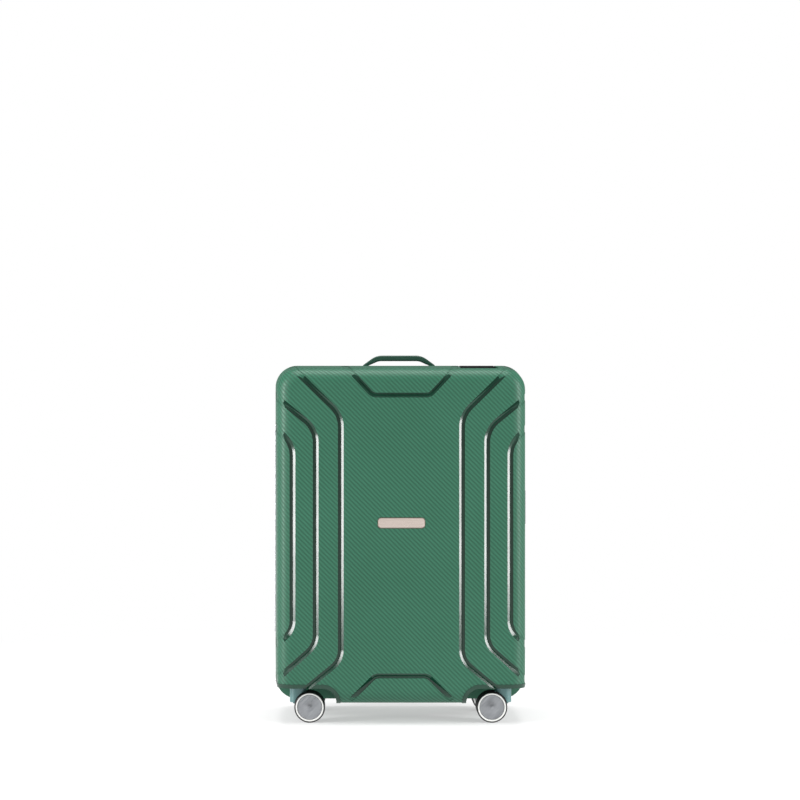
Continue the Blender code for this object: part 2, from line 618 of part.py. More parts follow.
# ---- latches -----------------------------------------------------------------------------------------
def make_latch(place, materials):
    """A lever over the seam on a base behind it. Built flat, then turned to its side of the case.

    Here x runs along the lever, y backwards and z outwards, and the origin is the pivot."""
    name, point, run, out, proud, bay_front = place
    half = LATCH_LENGTH / 2
    inner = half - LATCH_EAR - RUNNING_GAP
    floor = -LATCH_BAY_DEPTH + CLEARANCE
    pivot_out = floor + LATCH_PLATE + CLEARANCE + LATCH_BARREL
    hub = empty("latch_axis_" + name, (0, 0, 0))
    turn = Matrix((run, BACK, out)).transposed().to_4x4()
    hub.matrix_world = Matrix.Translation(point + BACK * LATCH_PIVOT + out * pivot_out) @ turn
    low, high = -LATCH_BARREL + RUNNING_GAP, -pivot_out - LATCH_SUNK + proud
    front = -LATCH_PIVOT - LATCH_FRONT
    neck = -LATCH_EAR_REACH - LATCH_NECK
    plan = [(-half, front), (half, front), (half, neck), (inner, neck), (inner, 0.0), (-inner, 0.0),
            (-inner, neck), (-half, neck)]
    lever = link_object("latch_lever_" + name, extrude_mesh(plan, 2, low, high), materials["black_plastic"])
    root = neck - LATCH_NECK
    profile = [(root, low)]
    for i in range(7):
        angle = math.radians(-90.0 + 30.0 * i)
        profile.append((LATCH_BARREL * math.cos(angle), LATCH_BARREL * math.sin(angle)))
    profile.append((root, LATCH_BARREL))
    barrel = link_object("barrel_" + name, extrude_mesh(profile, 0, -inner, inner), None)
    stub_length = LATCH_LENGTH - 4 * RUNNING_GAP
    stub = link_object("stub_" + name, cylinder_mesh((0, 0, 0), LATCH_STUB, stub_length, 0, 12), None)
    boolean(lever, barrel, "UNION")
    boolean(lever, stub, "UNION")
    base_low = floor - pivot_out
    back = LATCH_BAY_REAR - LATCH_END_ROOM - LATCH_PIVOT
    base = box("latch_base_" + name, (-half, 2 * SEAM_GAP - LATCH_PIVOT, base_low),
               (half, back, base_low + LATCH_PLATE), materials["black_plastic"])
    made = [lever, barrel, stub, base]
    for direction in (-1, 1):
        ends = sorted((direction * (half - LATCH_EAR), direction * half))
        ear = box(f"ear_{name}_{direction}", (ends[0], -LATCH_EAR_REACH, base_low),
                  (ends[1], LATCH_EAR_REACH, -pivot_out - LATCH_SUNK), None)
        boolean(base, ear, "UNION")
        made.append(ear)
    bore_length = stub_length + 2 * RUNNING_GAP
    bore = link_object("stub_bore_" + name,
                       cylinder_mesh((0, 0, 0), LATCH_STUB + CLEARANCE, bore_length, 0, 12), None)
    boolean(base, bore)
    made.append(bore)
    for item in made:
        item.parent = hub


# ---- lock --------------------------------------------------------------------------------------------
def make_lock(materials):
    """Combination lock in the right side: a deep body, three dials, and the slider that frees the latch."""
    face = HALF - LOCK_FACE
    middle = (LOCK_FRONT + LOCK_REAR) / 2
    body = box("lock_body", (HALF - LOCK_DEEP, LOCK_FRONT, LOCK_LOW), (face, LOCK_REAR, LOCK_HIGH),
               materials["black_plastic"])
    dial_x = face + DIAL_PROUD - DIAL_RADIUS
    for i in range(DIAL_COUNT):
        level = LOCK_LOW + DIAL_START + i * DIAL_PITCH
        slot = DIAL_RADIUS + RUNNING_GAP
        rise = DIAL_THICK / 2 + RUNNING_GAP
        cut_box(body, f"dial_slot_{i}", (dial_x - slot, middle - slot, level - rise),
                (HALF + FAR, middle + slot, level + rise))
        dial = cylinder(f"lock_dial_{i + 1}", (dial_x, middle, level), DIAL_RADIUS, DIAL_THICK, 2,
                        materials["steel"], 20)
        set_origin(dial, (dial_x, middle, level))
    low = LOCK_HIGH - SLIDER_INSET - SLIDER_LENGTH - SLIDER_TRAVEL
    reach = SLIDER_WIDE / 2
    cut_box(body, "slider_slot", (face - SLIDER_THICK, middle - reach - RUNNING_GAP, low - RUNNING_GAP),
            (HALF + FAR, middle + reach + RUNNING_GAP, LOCK_HIGH - SLIDER_INSET + RUNNING_GAP))
    slider = box("lock_slider", (face - SLIDER_THICK + CLEARANCE, middle - reach, low),
                 (face + CLEARANCE, middle + reach, low + SLIDER_LENGTH), materials["steel"])
    set_origin(slider, (face, middle, low))


# ---- pulling handle ----------------------------------------------------------------------------------
def tube_mesh(centre_x, wide, deep, low, high, wall):
    """A rectangular tube, open at both ends."""
    bm = bmesh.new()
    rings = []
    for level, inset in ((low, 0.0), (high, 0.0), (high, wall), (low, wall)):
        x, y = wide / 2 - inset, deep / 2 - inset
        rings.append([bm.verts.new((centre_x + a * x, TROLLEY_Y + b * y, level))
                      for a, b in ((-1, -1), (1, -1), (1, 1), (-1, 1))])
    for first, second in zip(rings, rings[1:] + rings[:1]):
        for i in range(4):
            j = (i + 1) % 4
            bm.faces.new((first[i], first[j], second[j], second[i]))
    return bm


def tube_size(stage):
    """Width and depth of the tubes of one stage; each slides inside the one before."""
    shrink = stage * 2 * (TUBE_WALL + CLEARANCE)
    return TUBE_WIDE - shrink, TUBE_DEEP - shrink


def make_trolley(materials):
    tops = (CUP_FLOOR - CLEARANCE, CUP_FLOOR + CUP_WALL + TUBE_LIP, GRIP_BOTTOM - CLEARANCE)
    for stage, label in enumerate(("outer", "middle", "inner")):
        wide, deep = tube_size(stage)
        low = TUBE_BOTTOM + stage * TUBE_STEP
        for direction, side in ((-1, "left"), (1, "right")):
            centre = direction * TUBE_X
            mesh = tube_mesh(centre, wide, deep, low, tops[stage], TUBE_WALL)
            tube = link_object(f"trolley_{label}_tube_{side}", mesh, materials["aluminium"])
            set_origin(tube, (centre, TROLLEY_Y, low))
    cup = box("trolley_cup", (-CUP_HALF, CUP_FRONT, CUP_FLOOR), (CUP_HALF, CUP_BACK, CUP_TOP),
              materials["black_plastic"], bevel=CUP_ROUND, edge_filter=along(2))
    cut_box(cup, "cup_inside", (-CUP_HALF + CUP_WALL, CUP_FRONT + CUP_WALL, CUP_FLOOR + CUP_WALL),
            (CUP_HALF - CUP_WALL, CUP_BACK - CUP_WALL, CUP_TOP + FAR))
    wide, deep = tube_size(1)
    for direction in (-1, 1):
        x, y = wide / 2 + RUNNING_GAP, deep / 2 + RUNNING_GAP
        cut_box(cup, f"cup_tube_hole_{direction}", (direction * TUBE_X - x, TROLLEY_Y - y, CUP_FLOOR - FAR),
                (direction * TUBE_X + x, TROLLEY_Y + y, CUP_FLOOR + 2 * CUP_WALL))
    reach = GRIP_DEEP / 2
    grip = box("trolley_grip", (-GRIP_HALF, TROLLEY_Y - reach, GRIP_BOTTOM),
               (GRIP_HALF, TROLLEY_Y + reach, GRIP_TOP), materials["black_plastic"],
               bevel=GRIP_ROUND, steps=3)
    side = BUTTON_DEEP / 2
    button_low = GRIP_TOP - BUTTON_TRAVEL
    room_x, room_y = BUTTON_HALF + RUNNING_GAP, side + RUNNING_GAP
    cut_box(grip, "button_pocket", (-room_x, TROLLEY_Y - room_y, button_low - BUTTON_TRAVEL - CLEARANCE),
            (room_x, TROLLEY_Y + room_y, GRIP_TOP + FAR))
    set_origin(grip, (0.0, TROLLEY_Y, GRIP_BOTTOM))
    button = box("trolley_button", (-BUTTON_HALF, TROLLEY_Y - side, button_low),
                 (BUTTON_HALF, TROLLEY_Y + side, GRIP_TOP + BUTTON_PROUD), materials["dark_green"],
                 bevel=BUTTON_ROUND, edge_filter=along(2))
    set_origin(button, (0.0, TROLLEY_Y, button_low))


# ---- carry handles -----------------------------------------------------------------------------------
def make_top_handle(materials):
    """A stiff strap that comes down into a bracket at each end and pulls up for the hand."""
    top, low = TOP_HANDLE_TOP, TOP_HANDLE_LEG_END
    outer, inner = TOP_HANDLE_HALF, TOP_HANDLE_HALF - TOP_HANDLE_LEG
    shoulder = SHELL_TOP + SHOULDER_RISE
    under = top - TOP_HANDLE_THICK
    half_outline = [(TOP_HANDLE_FLAT, top), (outer - SHOULDER_CUT, shoulder + SHOULDER_CUT),
                    (outer, shoulder), (outer, low), (inner, low), (inner, shoulder - SHOULDER_UNDER),
                    (TOP_HANDLE_FLAT - UNDER_INSET, under)]
    outline = half_outline + [(-x, z) for x, z in reversed(half_outline)]
    reach = TOP_HANDLE_DEEP / 2
    handle = link_object("top_handle", extrude_mesh(outline, 1, TOP_HANDLE_Y - reach, TOP_HANDLE_Y + reach),
                         materials["dark_green"])
    set_origin(handle, (0.0, TOP_HANDLE_Y, low))
    for direction, side in ((-1, "left"), (1, "right")):
        low_corner, high_corner = bracket_box(direction, 0.0)
        bracket = box("top_handle_bracket_" + side, low_corner, high_corner, materials["dark_green"])
        slot = sorted((direction * (inner - CLEARANCE), direction * (outer + CLEARANCE)))
        cut_box(bracket, "leg_slot_" + side,
                (slot[0], TOP_HANDLE_Y - reach - CLEARANCE, BRACKET_BOTTOM + BRACKET_BASE),
                (slot[1], TOP_HANDLE_Y + reach + CLEARANCE, SHELL_TOP + FAR))


def make_side_handle(materials):
    """A grip that lies flush in a cup in the right side and pulls out for the hand."""
    low, high = side_cup_outline(0.0)
    cup = box("side_handle_cup", low, high, materials["dark_green"])
    wall = SIDE_CUP_WALL
    cut_box(cup, "side_cup_inside", (low[0] + wall, low[1] + wall, low[2] + wall),
            (high[0] + FAR, high[1] - wall, high[2] - wall))
    face = high[0] - CLEARANCE
    reach = SIDE_GRIP_DEEP / 2
    bottom, top = low[2] + wall + RUNNING_GAP, high[2] - wall - RUNNING_GAP
    back = low[0] + wall + CLEARANCE
    leg = SIDE_GRIP_THICK
    outline = [(back, bottom), (face, bottom), (face, top), (back, top), (back, top - leg),
               (face - leg, top - leg), (face - leg, bottom + leg), (back, bottom + leg)]
    levels = (SIDE_HANDLE_Y - reach, SIDE_HANDLE_Y + reach)
    handle = link_object("side_handle", extrude_mesh(outline, 1, *levels), materials["dark_green"])
    set_origin(handle, (back, SIDE_HANDLE_Y, SIDE_HANDLE_Z))


# ---- inside ------------------------------------------------------------------------------------------
def make_lining(name, side, depth, top, material):
    """A cloth tub, open at the seam, its far edges rounded."""
    def tub(offset, open_end):
        ends = sorted((side * open_end, side * (depth - offset)))
        low = (-LINING_HALF + offset, ends[0], LINING_BOTTOM + offset)
        high = (LINING_HALF - offset, ends[1], top - offset)
        far = depth - offset

        def rounded(edge):
            run = edge.verts[0].co - edge.verts[1].co
            at_far = all(abs(abs(v.co.y) - far) < TINY for v in edge.verts)
            return at_far or abs(run.y) > TINY
        return box_mesh(low, high, LINING_EDGE - offset, 3, rounded)
    lining = link_object(name, tub(0.0, LINING_SEAM), material)
    boolean(lining, link_object("cut_" + name, tub(LINING_THICK, -FAR), None))
    return lining


def make_inside(materials):
    rear = make_lining("rear_lining", 1, REAR_LINING_DEPTH, REAR_LINING_TOP, materials["lining_cloth"])
    cut_box(rear, "side_cup_room", *side_cup_outline(2 * CLEARANCE))
    make_lining("front_lining", -1, FRONT_LINING_DEPTH, FRONT_LINING_TOP, materials["lining_cloth"])
    bed = REAR_LINING_DEPTH - LINING_THICK - CLEARANCE
    reach = LINING_HALF - LINING_EDGE - STRAP_END_GAP
    for direction, side in ((-1, "left"), (1, "right")):
        ends = sorted((direction * (BUCKLE_HALF + CLEARANCE), direction * reach))
        box("compression_strap_" + side, (ends[0], bed - STRAP_THICK, STRAP_Z - STRAP_WIDTH / 2),
            (ends[1], bed, STRAP_Z + STRAP_WIDTH / 2), materials["strap_webbing"])
    box("strap_buckle", (-BUCKLE_HALF, bed - BUCKLE_THICK, STRAP_Z - BUCKLE_HIGH / 2),
        (BUCKLE_HALF, bed, STRAP_Z + BUCKLE_HIGH / 2), materials["black_plastic"], bevel=BUCKLE_ROUND)
    floor = FRONT_LINING_DEPTH - LINING_THICK - CLEARANCE
    box("mesh_pocket", (-POCKET_HALF, -floor, POCKET_LOW),
        (POCKET_HALF, -floor + POCKET_THICK, POCKET_HIGH), materials["strap_webbing"])


def make_badge(materials):
    back = -FRONT_DEPTH + BADGE_BAY - CLEARANCE
    box("badge_plate", (-BADGE_LENGTH / 2, back - BADGE_THICK, BADGE_Z - BADGE_HIGH / 2),
        (BADGE_LENGTH / 2, back, BADGE_Z + BADGE_HIGH / 2), materials["badge_metal"],
        bevel=BADGE_ROUND, steps=3, edge_filter=along(1))


# ---- casters -----------------------------------------------------------------------------------------
def wheel_mesh():
    """A turned wheel about Y, blind on its outer side, its inner face just clear of the fork."""
    inner, outer = WHEEL_INNER, WHEEL_OUTER
    bore = AXLE_RADIUS + CLEARANCE
    shoulder = WHEEL_RADIUS - TYRE_EDGE
    profile = ((bore, outer - WHEEL_FACE), (bore, inner), (shoulder, inner),
               (WHEEL_RADIUS, inner + TYRE_EDGE), (WHEEL_RADIUS, outer - TYRE_EDGE), (shoulder, outer))
    bm = bmesh.new()
    segments = WHEEL_SEGMENTS
    turns = [2 * math.pi * i / segments for i in range(segments)]
    rings = []
    for radius, y in profile:
        rings.append([bm.verts.new((radius * math.cos(turn), y, radius * math.sin(turn))) for turn in turns])
    for first, second in zip(rings, rings[1:]):
        for i in range(segments):
            j = (i + 1) % segments
            bm.faces.new((first[i], first[j], second[j], second[i]))
    bm.faces.new(rings[0])
    bm.faces.new(list(reversed(rings[-1])))
    return bm


def make_fork(tag, materials):
    """A stem, drawn out to one side, over a web that runs down between the wheels to the axle.

    The origin is the swivel axis."""
    mount_low = BAY_CEILING - CLEARANCE - MOUNT_THICK
    top = mount_low - BOSS_GAP
    stem_low = WHEEL_RADIUS + FORK_STEM_END
    stem = []
    for middle, start in ((FORK_LOBE, -90.0), (0.0, 90.0)):
        for step in range(11):
            angle = math.radians(start + 18.0 * step)
            stem.append((middle + FORK_RADIUS * math.cos(angle), FORK_RADIUS * math.sin(angle)))
    fork = link_object("caster_fork_" + tag, extrude_mesh(stem, 2, stem_low, top), materials["fork_teal"])
    made = [fork]
    for direction in (-1, 1):
        centre = (-WHEEL_TRAIL, direction * (FORK_WEB / 2 + FAR / 4), WHEEL_RADIUS)
        room_mesh = cylinder_mesh(centre, WHEEL_RADIUS + WHEEL_ROOM, FAR / 2, 1, WHEEL_SEGMENTS)
        room = link_object(f"wheel_room_{tag}_{direction}", room_mesh, None)
        boolean(fork, room)
        made.append(room)
    axle_hub = AXLE_RADIUS + FORK_HUB
    side = FORK_RADIUS - FORK_WEB_INSET
    outer = FORK_LOBE + side
    web_top = top - FORK_WEB_DROP
    outline = [(outer, web_top), (outer, WHEEL_RADIUS + FORK_ELBOW),
               (FORK_LOBE + FORK_RADIUS - FORK_TIP, WHEEL_RADIUS + FORK_TIP)]
    for i in range(7):
        angle = math.radians(-60.0 - 30.0 * i)
        outline.append((axle_hub * math.cos(angle) - WHEEL_TRAIL, axle_hub * math.sin(angle) + WHEEL_RADIUS))
    outline.append((-side, web_top))
    web = link_object("web_" + tag, extrude_mesh(outline, 1, -FORK_WEB / 2, FORK_WEB / 2), None)
    boolean(fork, web, "UNION")
    bore_mesh = cylinder_mesh((-WHEEL_TRAIL, 0, WHEEL_RADIUS), AXLE_RADIUS + CLEARANCE, FAR, 1, 16)
    bore = link_object("axle_bore_" + tag, bore_mesh, None)
    post_end = top - POST_DEPTH
    post_mesh = cylinder_mesh((0, 0, post_end + FAR / 2), POST_RADIUS + RUNNING_GAP, FAR, 2, 16)
    post_bore = link_object("post_bore_" + tag, post_mesh, None)
    boolean(fork, bore)
    boolean(fork, post_bore)
    return made + [web, bore, post_bore]


def make_mount(tag, materials):
    """Plate screwed under the ceiling of the wheel bay, with the post that the fork turns on."""
    low = BAY_CEILING - CLEARANCE - MOUNT_THICK
    mount = box("caster_mount_" + tag, (-MOUNT_HALF, -MOUNT_HALF, low),
                (MOUNT_HALF, MOUNT_HALF, low + MOUNT_THICK), materials["black_plastic"],
                bevel=MOUNT_ROUND, steps=3, edge_filter=along(2))
    post_low, post_high = low - BOSS_GAP - POST_DEPTH + RUNNING_GAP, low + POST_ROOT
    post_mesh = cylinder_mesh((0, 0, (post_low + post_high) / 2), POST_RADIUS, post_high - post_low, 2, 16)
    post = link_object("post_" + tag, post_mesh, None)
    boolean(mount, post, "UNION")
    return [mount, post]


def make_casters(materials):
    """Each caster is built about its own swivel axis, which stands on the floor under the fork."""
    for row, y_side in (("front", -1), ("rear", 1)):
        for column, x_side in (("left", -1), ("right", 1)):
            tag = f"{row}_{column}"
            turn = 0.0 if x_side > 0 else math.pi
            axis = empty("swivel_axis_" + tag, (x_side * SWIVEL_X, y_side * SWIVEL_Y, 0.0), turn)
            for item in make_mount(tag, materials) + make_fork(tag, materials):
                item.parent = axis
            axle_length = 2 * (WHEEL_OUTER - WHEEL_FACE - AXLE_END_GAP)
            axle = cylinder("caster_axle_" + tag, (0, 0, 0), AXLE_RADIUS, axle_length, 1,
                            materials["steel"], 16)
            axle.location = (-WHEEL_TRAIL, 0.0, WHEEL_RADIUS)
            axle.parent = axis
            for label, spin in (("a", 0.0), ("b", math.pi)):
                wheel = link_object(f"wheel_{tag}_{label}", wheel_mesh(), materials["tyre_black"])
                smooth(wheel)
                wheel.location = (-WHEEL_TRAIL, 0.0, WHEEL_RADIUS)
                wheel.rotation_euler = (0.0, 0.0, spin)
                wheel.parent = axis


def main():
    for item in list(bpy.data.objects):
        bpy.data.objects.remove(item, do_unlink=True)
    materials = make_materials()
    make_shells(materials)
    make_rims(materials)
    make_inside(materials)
    make_hinge(materials)
    for place in latch_places():
        make_latch(place, materials)
    make_lock(materials)
    make_trolley(materials)
    make_top_handle(materials)
    make_side_handle(materials)
    make_badge(materials)
    make_casters(materials)


main()
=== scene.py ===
"""Finished look of the hard shell suitcase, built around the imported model.

Everything is in metres in the model's own frame: +Z up, the lid faces -Y, the seam is the plane y = 0.
"""
import json
import math

import bpy
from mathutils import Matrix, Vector

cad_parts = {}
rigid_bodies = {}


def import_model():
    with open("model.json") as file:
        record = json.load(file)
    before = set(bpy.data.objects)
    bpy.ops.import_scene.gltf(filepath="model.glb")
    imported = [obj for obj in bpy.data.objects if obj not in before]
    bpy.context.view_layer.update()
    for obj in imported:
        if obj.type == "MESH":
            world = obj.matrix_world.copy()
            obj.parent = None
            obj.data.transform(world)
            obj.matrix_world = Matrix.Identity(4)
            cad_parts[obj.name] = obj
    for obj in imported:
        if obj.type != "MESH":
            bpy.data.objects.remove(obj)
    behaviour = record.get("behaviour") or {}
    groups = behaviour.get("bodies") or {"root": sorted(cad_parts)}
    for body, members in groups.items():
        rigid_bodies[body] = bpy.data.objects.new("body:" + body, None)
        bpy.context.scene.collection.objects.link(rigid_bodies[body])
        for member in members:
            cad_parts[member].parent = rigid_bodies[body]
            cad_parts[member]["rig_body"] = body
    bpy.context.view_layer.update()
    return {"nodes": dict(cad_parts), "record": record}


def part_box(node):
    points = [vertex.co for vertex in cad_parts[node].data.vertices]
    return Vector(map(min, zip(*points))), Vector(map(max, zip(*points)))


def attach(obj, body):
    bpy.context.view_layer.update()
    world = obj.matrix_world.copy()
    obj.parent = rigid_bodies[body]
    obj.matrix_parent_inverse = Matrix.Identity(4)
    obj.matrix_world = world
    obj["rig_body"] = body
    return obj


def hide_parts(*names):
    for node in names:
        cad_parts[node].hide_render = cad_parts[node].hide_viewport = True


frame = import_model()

NODES = frame["nodes"]

# ---- sizes, from the model ---------------------------------------------------------------------------
LID_LOW, LID_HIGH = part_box("front_shell")
DRAFT = math.tan(math.radians(3.0))
SEAM_GAP = -LID_HIGH.y
HALF = LID_HIGH.x + DRAFT * SEAM_GAP
TOP = LID_HIGH.z + DRAFT * SEAM_GAP
BOTTOM = 0.033
DEPTH = -LID_LOW.y
MIDDLE_Z = (TOP + BOTTOM) / 2
CORNER = 0.040
FILLET = 0.025
WALL = 0.003
GAP = 0.0003
FAR = 0.06
SIDES = (("left", -1), ("right", 1))
ROWS = ("front", "rear")

# ---- the raised panels: centre lines of the grooves on the right half, x and z -----------------------
GROOVE_DEPTH = 0.0036
GROOVE_WIDTH = 0.0102
GROOVE_START = 0.013          # a plain band is left along the seam
GROOVE_SLOPE = 0.0056         # the wall nearest the middle leans outwards by this
SHELL_BACKING = 0.0066        # seen from outside, how thick the shell is with its grooves
SEAM_ROOM = 0.0165            # the closing frames sit this near the seam
UPPER_BEND = 0.050
LOWER_BEND = 0.040
TIGHT_BEND = 0.016
SIDE_GROOVES = (
    ((0.2177, 0.6616), (0.1080, 0.5542), (0.1080, 0.1176), (0.1556, 0.0786), (0.1800, 0.0587)),
    ((0.2450, 0.6045), (0.1527, 0.5293), (0.1527, 0.1447), (0.2026, 0.1004), (0.2450, 0.0590)),
    ((0.2450, 0.5500), (0.1940, 0.5040), (0.1940, 0.1704), (0.2450, 0.1235)),
)
TOP_GROOVE = ((0.1100, 0.6528), (0.0511, 0.5897))
LOW_GROOVE = ((0.0905, 0.0465), (0.0470, 0.0897))
END_GROOVE_WIDTH = 0.0086
FADED_DEPTH = 0.0008          # left of the grooves where they run over the rounded edge

# ---- wheel bays --------------------------------------------------------------------------------------
BAY_CEILING = 0.067
BAY_INNER = 0.11598
BAY_RADIUS = 0.025
BAY_WALL_Y = 0.018
LIP_WIDTH = 0.0072
LIP_PROUD = 0.0011
LIP_START = 0.026             # clear of the other half when the lid lies open

# ---- recesses for the fittings -----------------------------------------------------------------------
LATCH_ROOM = 0.003
LATCH_BAY_BACK = 0.031
LATCH_BAY_DEEP = 0.006
LATCH_BAY_FRONTS = (("top", 0.115), ("side", 0.028), ("bottom", 0.028))
HINGE_ROOM = 0.001
HINGE_BAY_DEEP = 0.002
FINGER_BAY = ((-0.048, 0.024), (0.048, 0.068))
FINGER_BAY_DEEP = 0.018
BADGE_DEEP = 0.0016
BADGE_ROUNDING = 0.006

# ---- carry handle ------------------------------------------------------------------------------------
GRIP_THICK = 0.0102
LEG_THICK = 0.0070
OUTER_SHOULDER = 0.0420       # from the middle, where the sloping part would meet the top
INNER_SHOULDER = 0.0375
OUTER_ROUNDING = 0.0340
INNER_ROUNDING = 0.0240

WEAVE_PITCH = 0.0021


# ---- selecting and basic shapes ----------------------------------------------------------------------
def use_only(item):
    """item becomes the one selected and active object, in object mode."""
    if bpy.context.object and bpy.context.object.mode != "OBJECT":
        bpy.ops.object.mode_set(mode="OBJECT")
    bpy.ops.object.select_all(action="DESELECT")
    item.select_set(True)
    bpy.context.view_layer.objects.active = item


def pick(item, kind, test):
    """Opens item in edit mode with the vertices, edges or faces that pass the test selected."""
    use_only(item)
    mesh = item.data
    groups = {"VERT": mesh.vertices, "EDGE": mesh.edges, "FACE": mesh.polygons}
    bpy.context.tool_settings.mesh_select_mode = [kind == name for name in groups]
    for group in groups.values():
        group.foreach_set("select", [False] * len(group))
    for element in groups[kind]:
        element.select = test(element, mesh)
    bpy.ops.object.mode_set(mode="EDIT")


def done():
    bpy.ops.object.mode_set(mode="OBJECT")


def everything(element, mesh):
    return True


def edge_runs(axis):
    """A test for edges that run along one axis."""
    def test(edge, mesh):
        a, b = (mesh.vertices[i].co for i in edge.vertices)
        run = b - a
        return abs(run[axis]) > 0.98 * run.length
    return test


def at_level(axis, level):
    """A test for vertices, edges or faces that lie at one level of an axis."""
    def test(element, mesh):
        if hasattr(element, "co"):
            return abs(element.co[axis] - level) < 1e-5
        return all(abs(mesh.vertices[i].co[axis] - level) < 1e-5 for i in element.vertices)
    return test


def named(name, materials=()):
    item = bpy.context.object
    item.name = name
    item.data.name = name
    bpy.ops.object.transform_apply(location=True, rotation=True, scale=True)
    for material in materials:
        item.data.materials.append(material)
    return item


def block(name, low, high, *materials, rounding=0.0, steps=3, which=everything):
    """A box between two corners, with the chosen edges rounded."""
    low, high = Vector(low), Vector(high)
    bpy.ops.mesh.primitive_cube_add(size=1.0, location=(low + high) / 2, scale=high - low)
    item = named(name, materials)
    if rounding:
        pick(item, "EDGE", which)
        bpy.ops.mesh.bevel(offset=rounding, segments=steps, profile=0.5, affect="EDGES")
        done()
    return item


def turned(name, profile, centre, axis, steps, *materials):
    """A closed profile of (distance from the axis, place along it), spun round the X, Y or Z axis."""
    across = Vector((0, 0, 0))
    across["YZX".index(axis)] = 1.0
    along = Vector((0, 0, 0))
    along["XYZ".index(axis)] = 1.0
    mesh = bpy.data.meshes.new(name)
    points = [Vector(centre) + across * r + along * h for r, h in profile]
    mesh.from_pydata(points, [(i, i + 1) for i in range(len(points) - 1)], [])
    item = bpy.data.objects.new(name, mesh)
    bpy.context.scene.collection.objects.link(item)
    pick(item, "EDGE", everything)
    bpy.ops.mesh.spin(steps=steps, angle=2 * math.pi, center=centre, axis=along)
    bpy.ops.mesh.select_all(action="SELECT")
    bpy.ops.mesh.remove_doubles(threshold=1e-6)
    bpy.ops.mesh.normals_make_consistent(inside=False)
    done()
    for material in materials:
        mesh.materials.append(material)
    return item


def slab(name, outline, axis, start, end, *materials):
    """An outline in the two other axes, extruded along X, Y or Z."""
    index = "XYZ".index(axis)
    mesh = bpy.data.meshes.new(name)
    points = []
    for a, b in outline:
        place = [a, b]
        place.insert(index, start)
        points.append(place)
    mesh.from_pydata(points, [], [tuple(range(len(points)))])
    item = bpy.data.objects.new(name, mesh)
    bpy.context.scene.collection.objects.link(item)
    move = [0.0, 0.0, 0.0]
    move[index] = end - start
    pick(item, "FACE", everything)
    bpy.ops.mesh.extrude_region_move(TRANSFORM_OT_translate={"value": move})
    bpy.ops.mesh.select_all(action="SELECT")
    bpy.ops.mesh.normals_make_consistent(inside=False)
    done()
    for material in materials:
        mesh.materials.append(material)
    return item


def cut(item, tool, operation="DIFFERENCE", keep=False):
    use_only(item)
    change = item.modifiers.new("cut", "BOOLEAN")
    change.operation = operation
    change.solver = "EXACT"
    change.material_mode = "TRANSFER"
    change.object = tool
    bpy.ops.object.modifier_apply(modifier=change.name)
    if not keep:
        bpy.data.objects.remove(tool, do_unlink=True)
    return item


def join(items):
    use_only(items[0])
    for item in items[1:]:
        item.select_set(True)
    bpy.ops.object.join()
    return items[0]


def soften(item, width, steps=2, limit=28.0):
    """Rounds the sharp edges and shades the rest smooth, with flat faces kept flat."""
    use_only(item)
    if width:
        change = item.modifiers.new("round", "BEVEL")
        change.width = width
        change.segments = steps
        change.limit_method = "ANGLE"
        change.angle_limit = math.radians(limit)
        change.harden_normals = False
        bpy.ops.object.modifier_apply(modifier=change.name)
    bpy.ops.object.shade_smooth_by_angle(angle=math.radians(40.0))
    change = item.modifiers.new("even", "WEIGHTED_NORMAL")
    change.keep_sharp = True
    bpy.ops.object.modifier_apply(modifier=change.name)
    return item


def put(item, body, slot, *nodes):
    """The piece moves with a body and stands for the model's own nodes; the slot is not used."""
    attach(item, body)
    if nodes:
        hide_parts(*nodes)
    return item


# ---- shader building ---------------------------------------------------------------------------------
def add(tree, kind, links=None, **settings):
    """A node with its settings, and its sockets set to values or linked to other sockets."""
    made = tree.nodes.new(kind)
    for name, value in settings.items():
        setattr(made, name, value)
    for key, value in (links or {}).items():
        if isinstance(value, bpy.types.NodeSocket):
            tree.links.new(value, made.inputs[key])
        else:
            made.inputs[key].default_value = value
    return made


def calc(tree, operation, a, b=0.0, clamp=False):
    return add(tree, "ShaderNodeMath", {0: a, 1: b}, operation=operation, use_clamp=clamp).outputs[0]


def blend_colour(tree, factor, a, b):
    return add(tree, "ShaderNodeMix", {0: factor, 6: a, 7: b}, data_type="RGBA").outputs[2]


def blend_value(tree, factor, a, b):
    return add(tree, "ShaderNodeMix", {0: factor, 2: a, 3: b}).outputs[0]


def new_group(name, inputs, outputs):
    tree = bpy.data.node_groups.new(name, "ShaderNodeTree")
    for label, kind, value in inputs:
        socket = tree.interface.new_socket(label, in_out="INPUT", socket_type=kind)
        if value is not None:
            socket.default_value = value
    for label in outputs:
        tree.interface.new_socket(label, in_out="OUTPUT", socket_type="NodeSocketFloat")
    return tree, add(tree, "NodeGroupInput"), add(tree, "NodeGroupOutput")


def grain_group():
    """Fine pebble of a moulded surface, and slow cloudy change over the piece."""
    tree, given, out = new_group("surface_grain", (
        ("Vector", "NodeSocketVector", None), ("Grain", "NodeSocketFloat", 1800.0),
        ("Cloud", "NodeSocketFloat", 9.0)), ("Pebble", "Clouds"))
    pebble = add(tree, "ShaderNodeTexNoise", {"Vector": given.outputs[0], "Scale": given.outputs[1],
                                              "Detail": 2.0, "Roughness": 0.6})
    clouds = add(tree, "ShaderNodeTexNoise", {"Vector": given.outputs[0], "Scale": given.outputs[2],
                                              "Detail": 4.0, "Roughness": 0.55})
    tree.links.new(pebble.outputs[0], out.inputs[0])
    tree.links.new(clouds.outputs[0], out.inputs[1])
    return tree


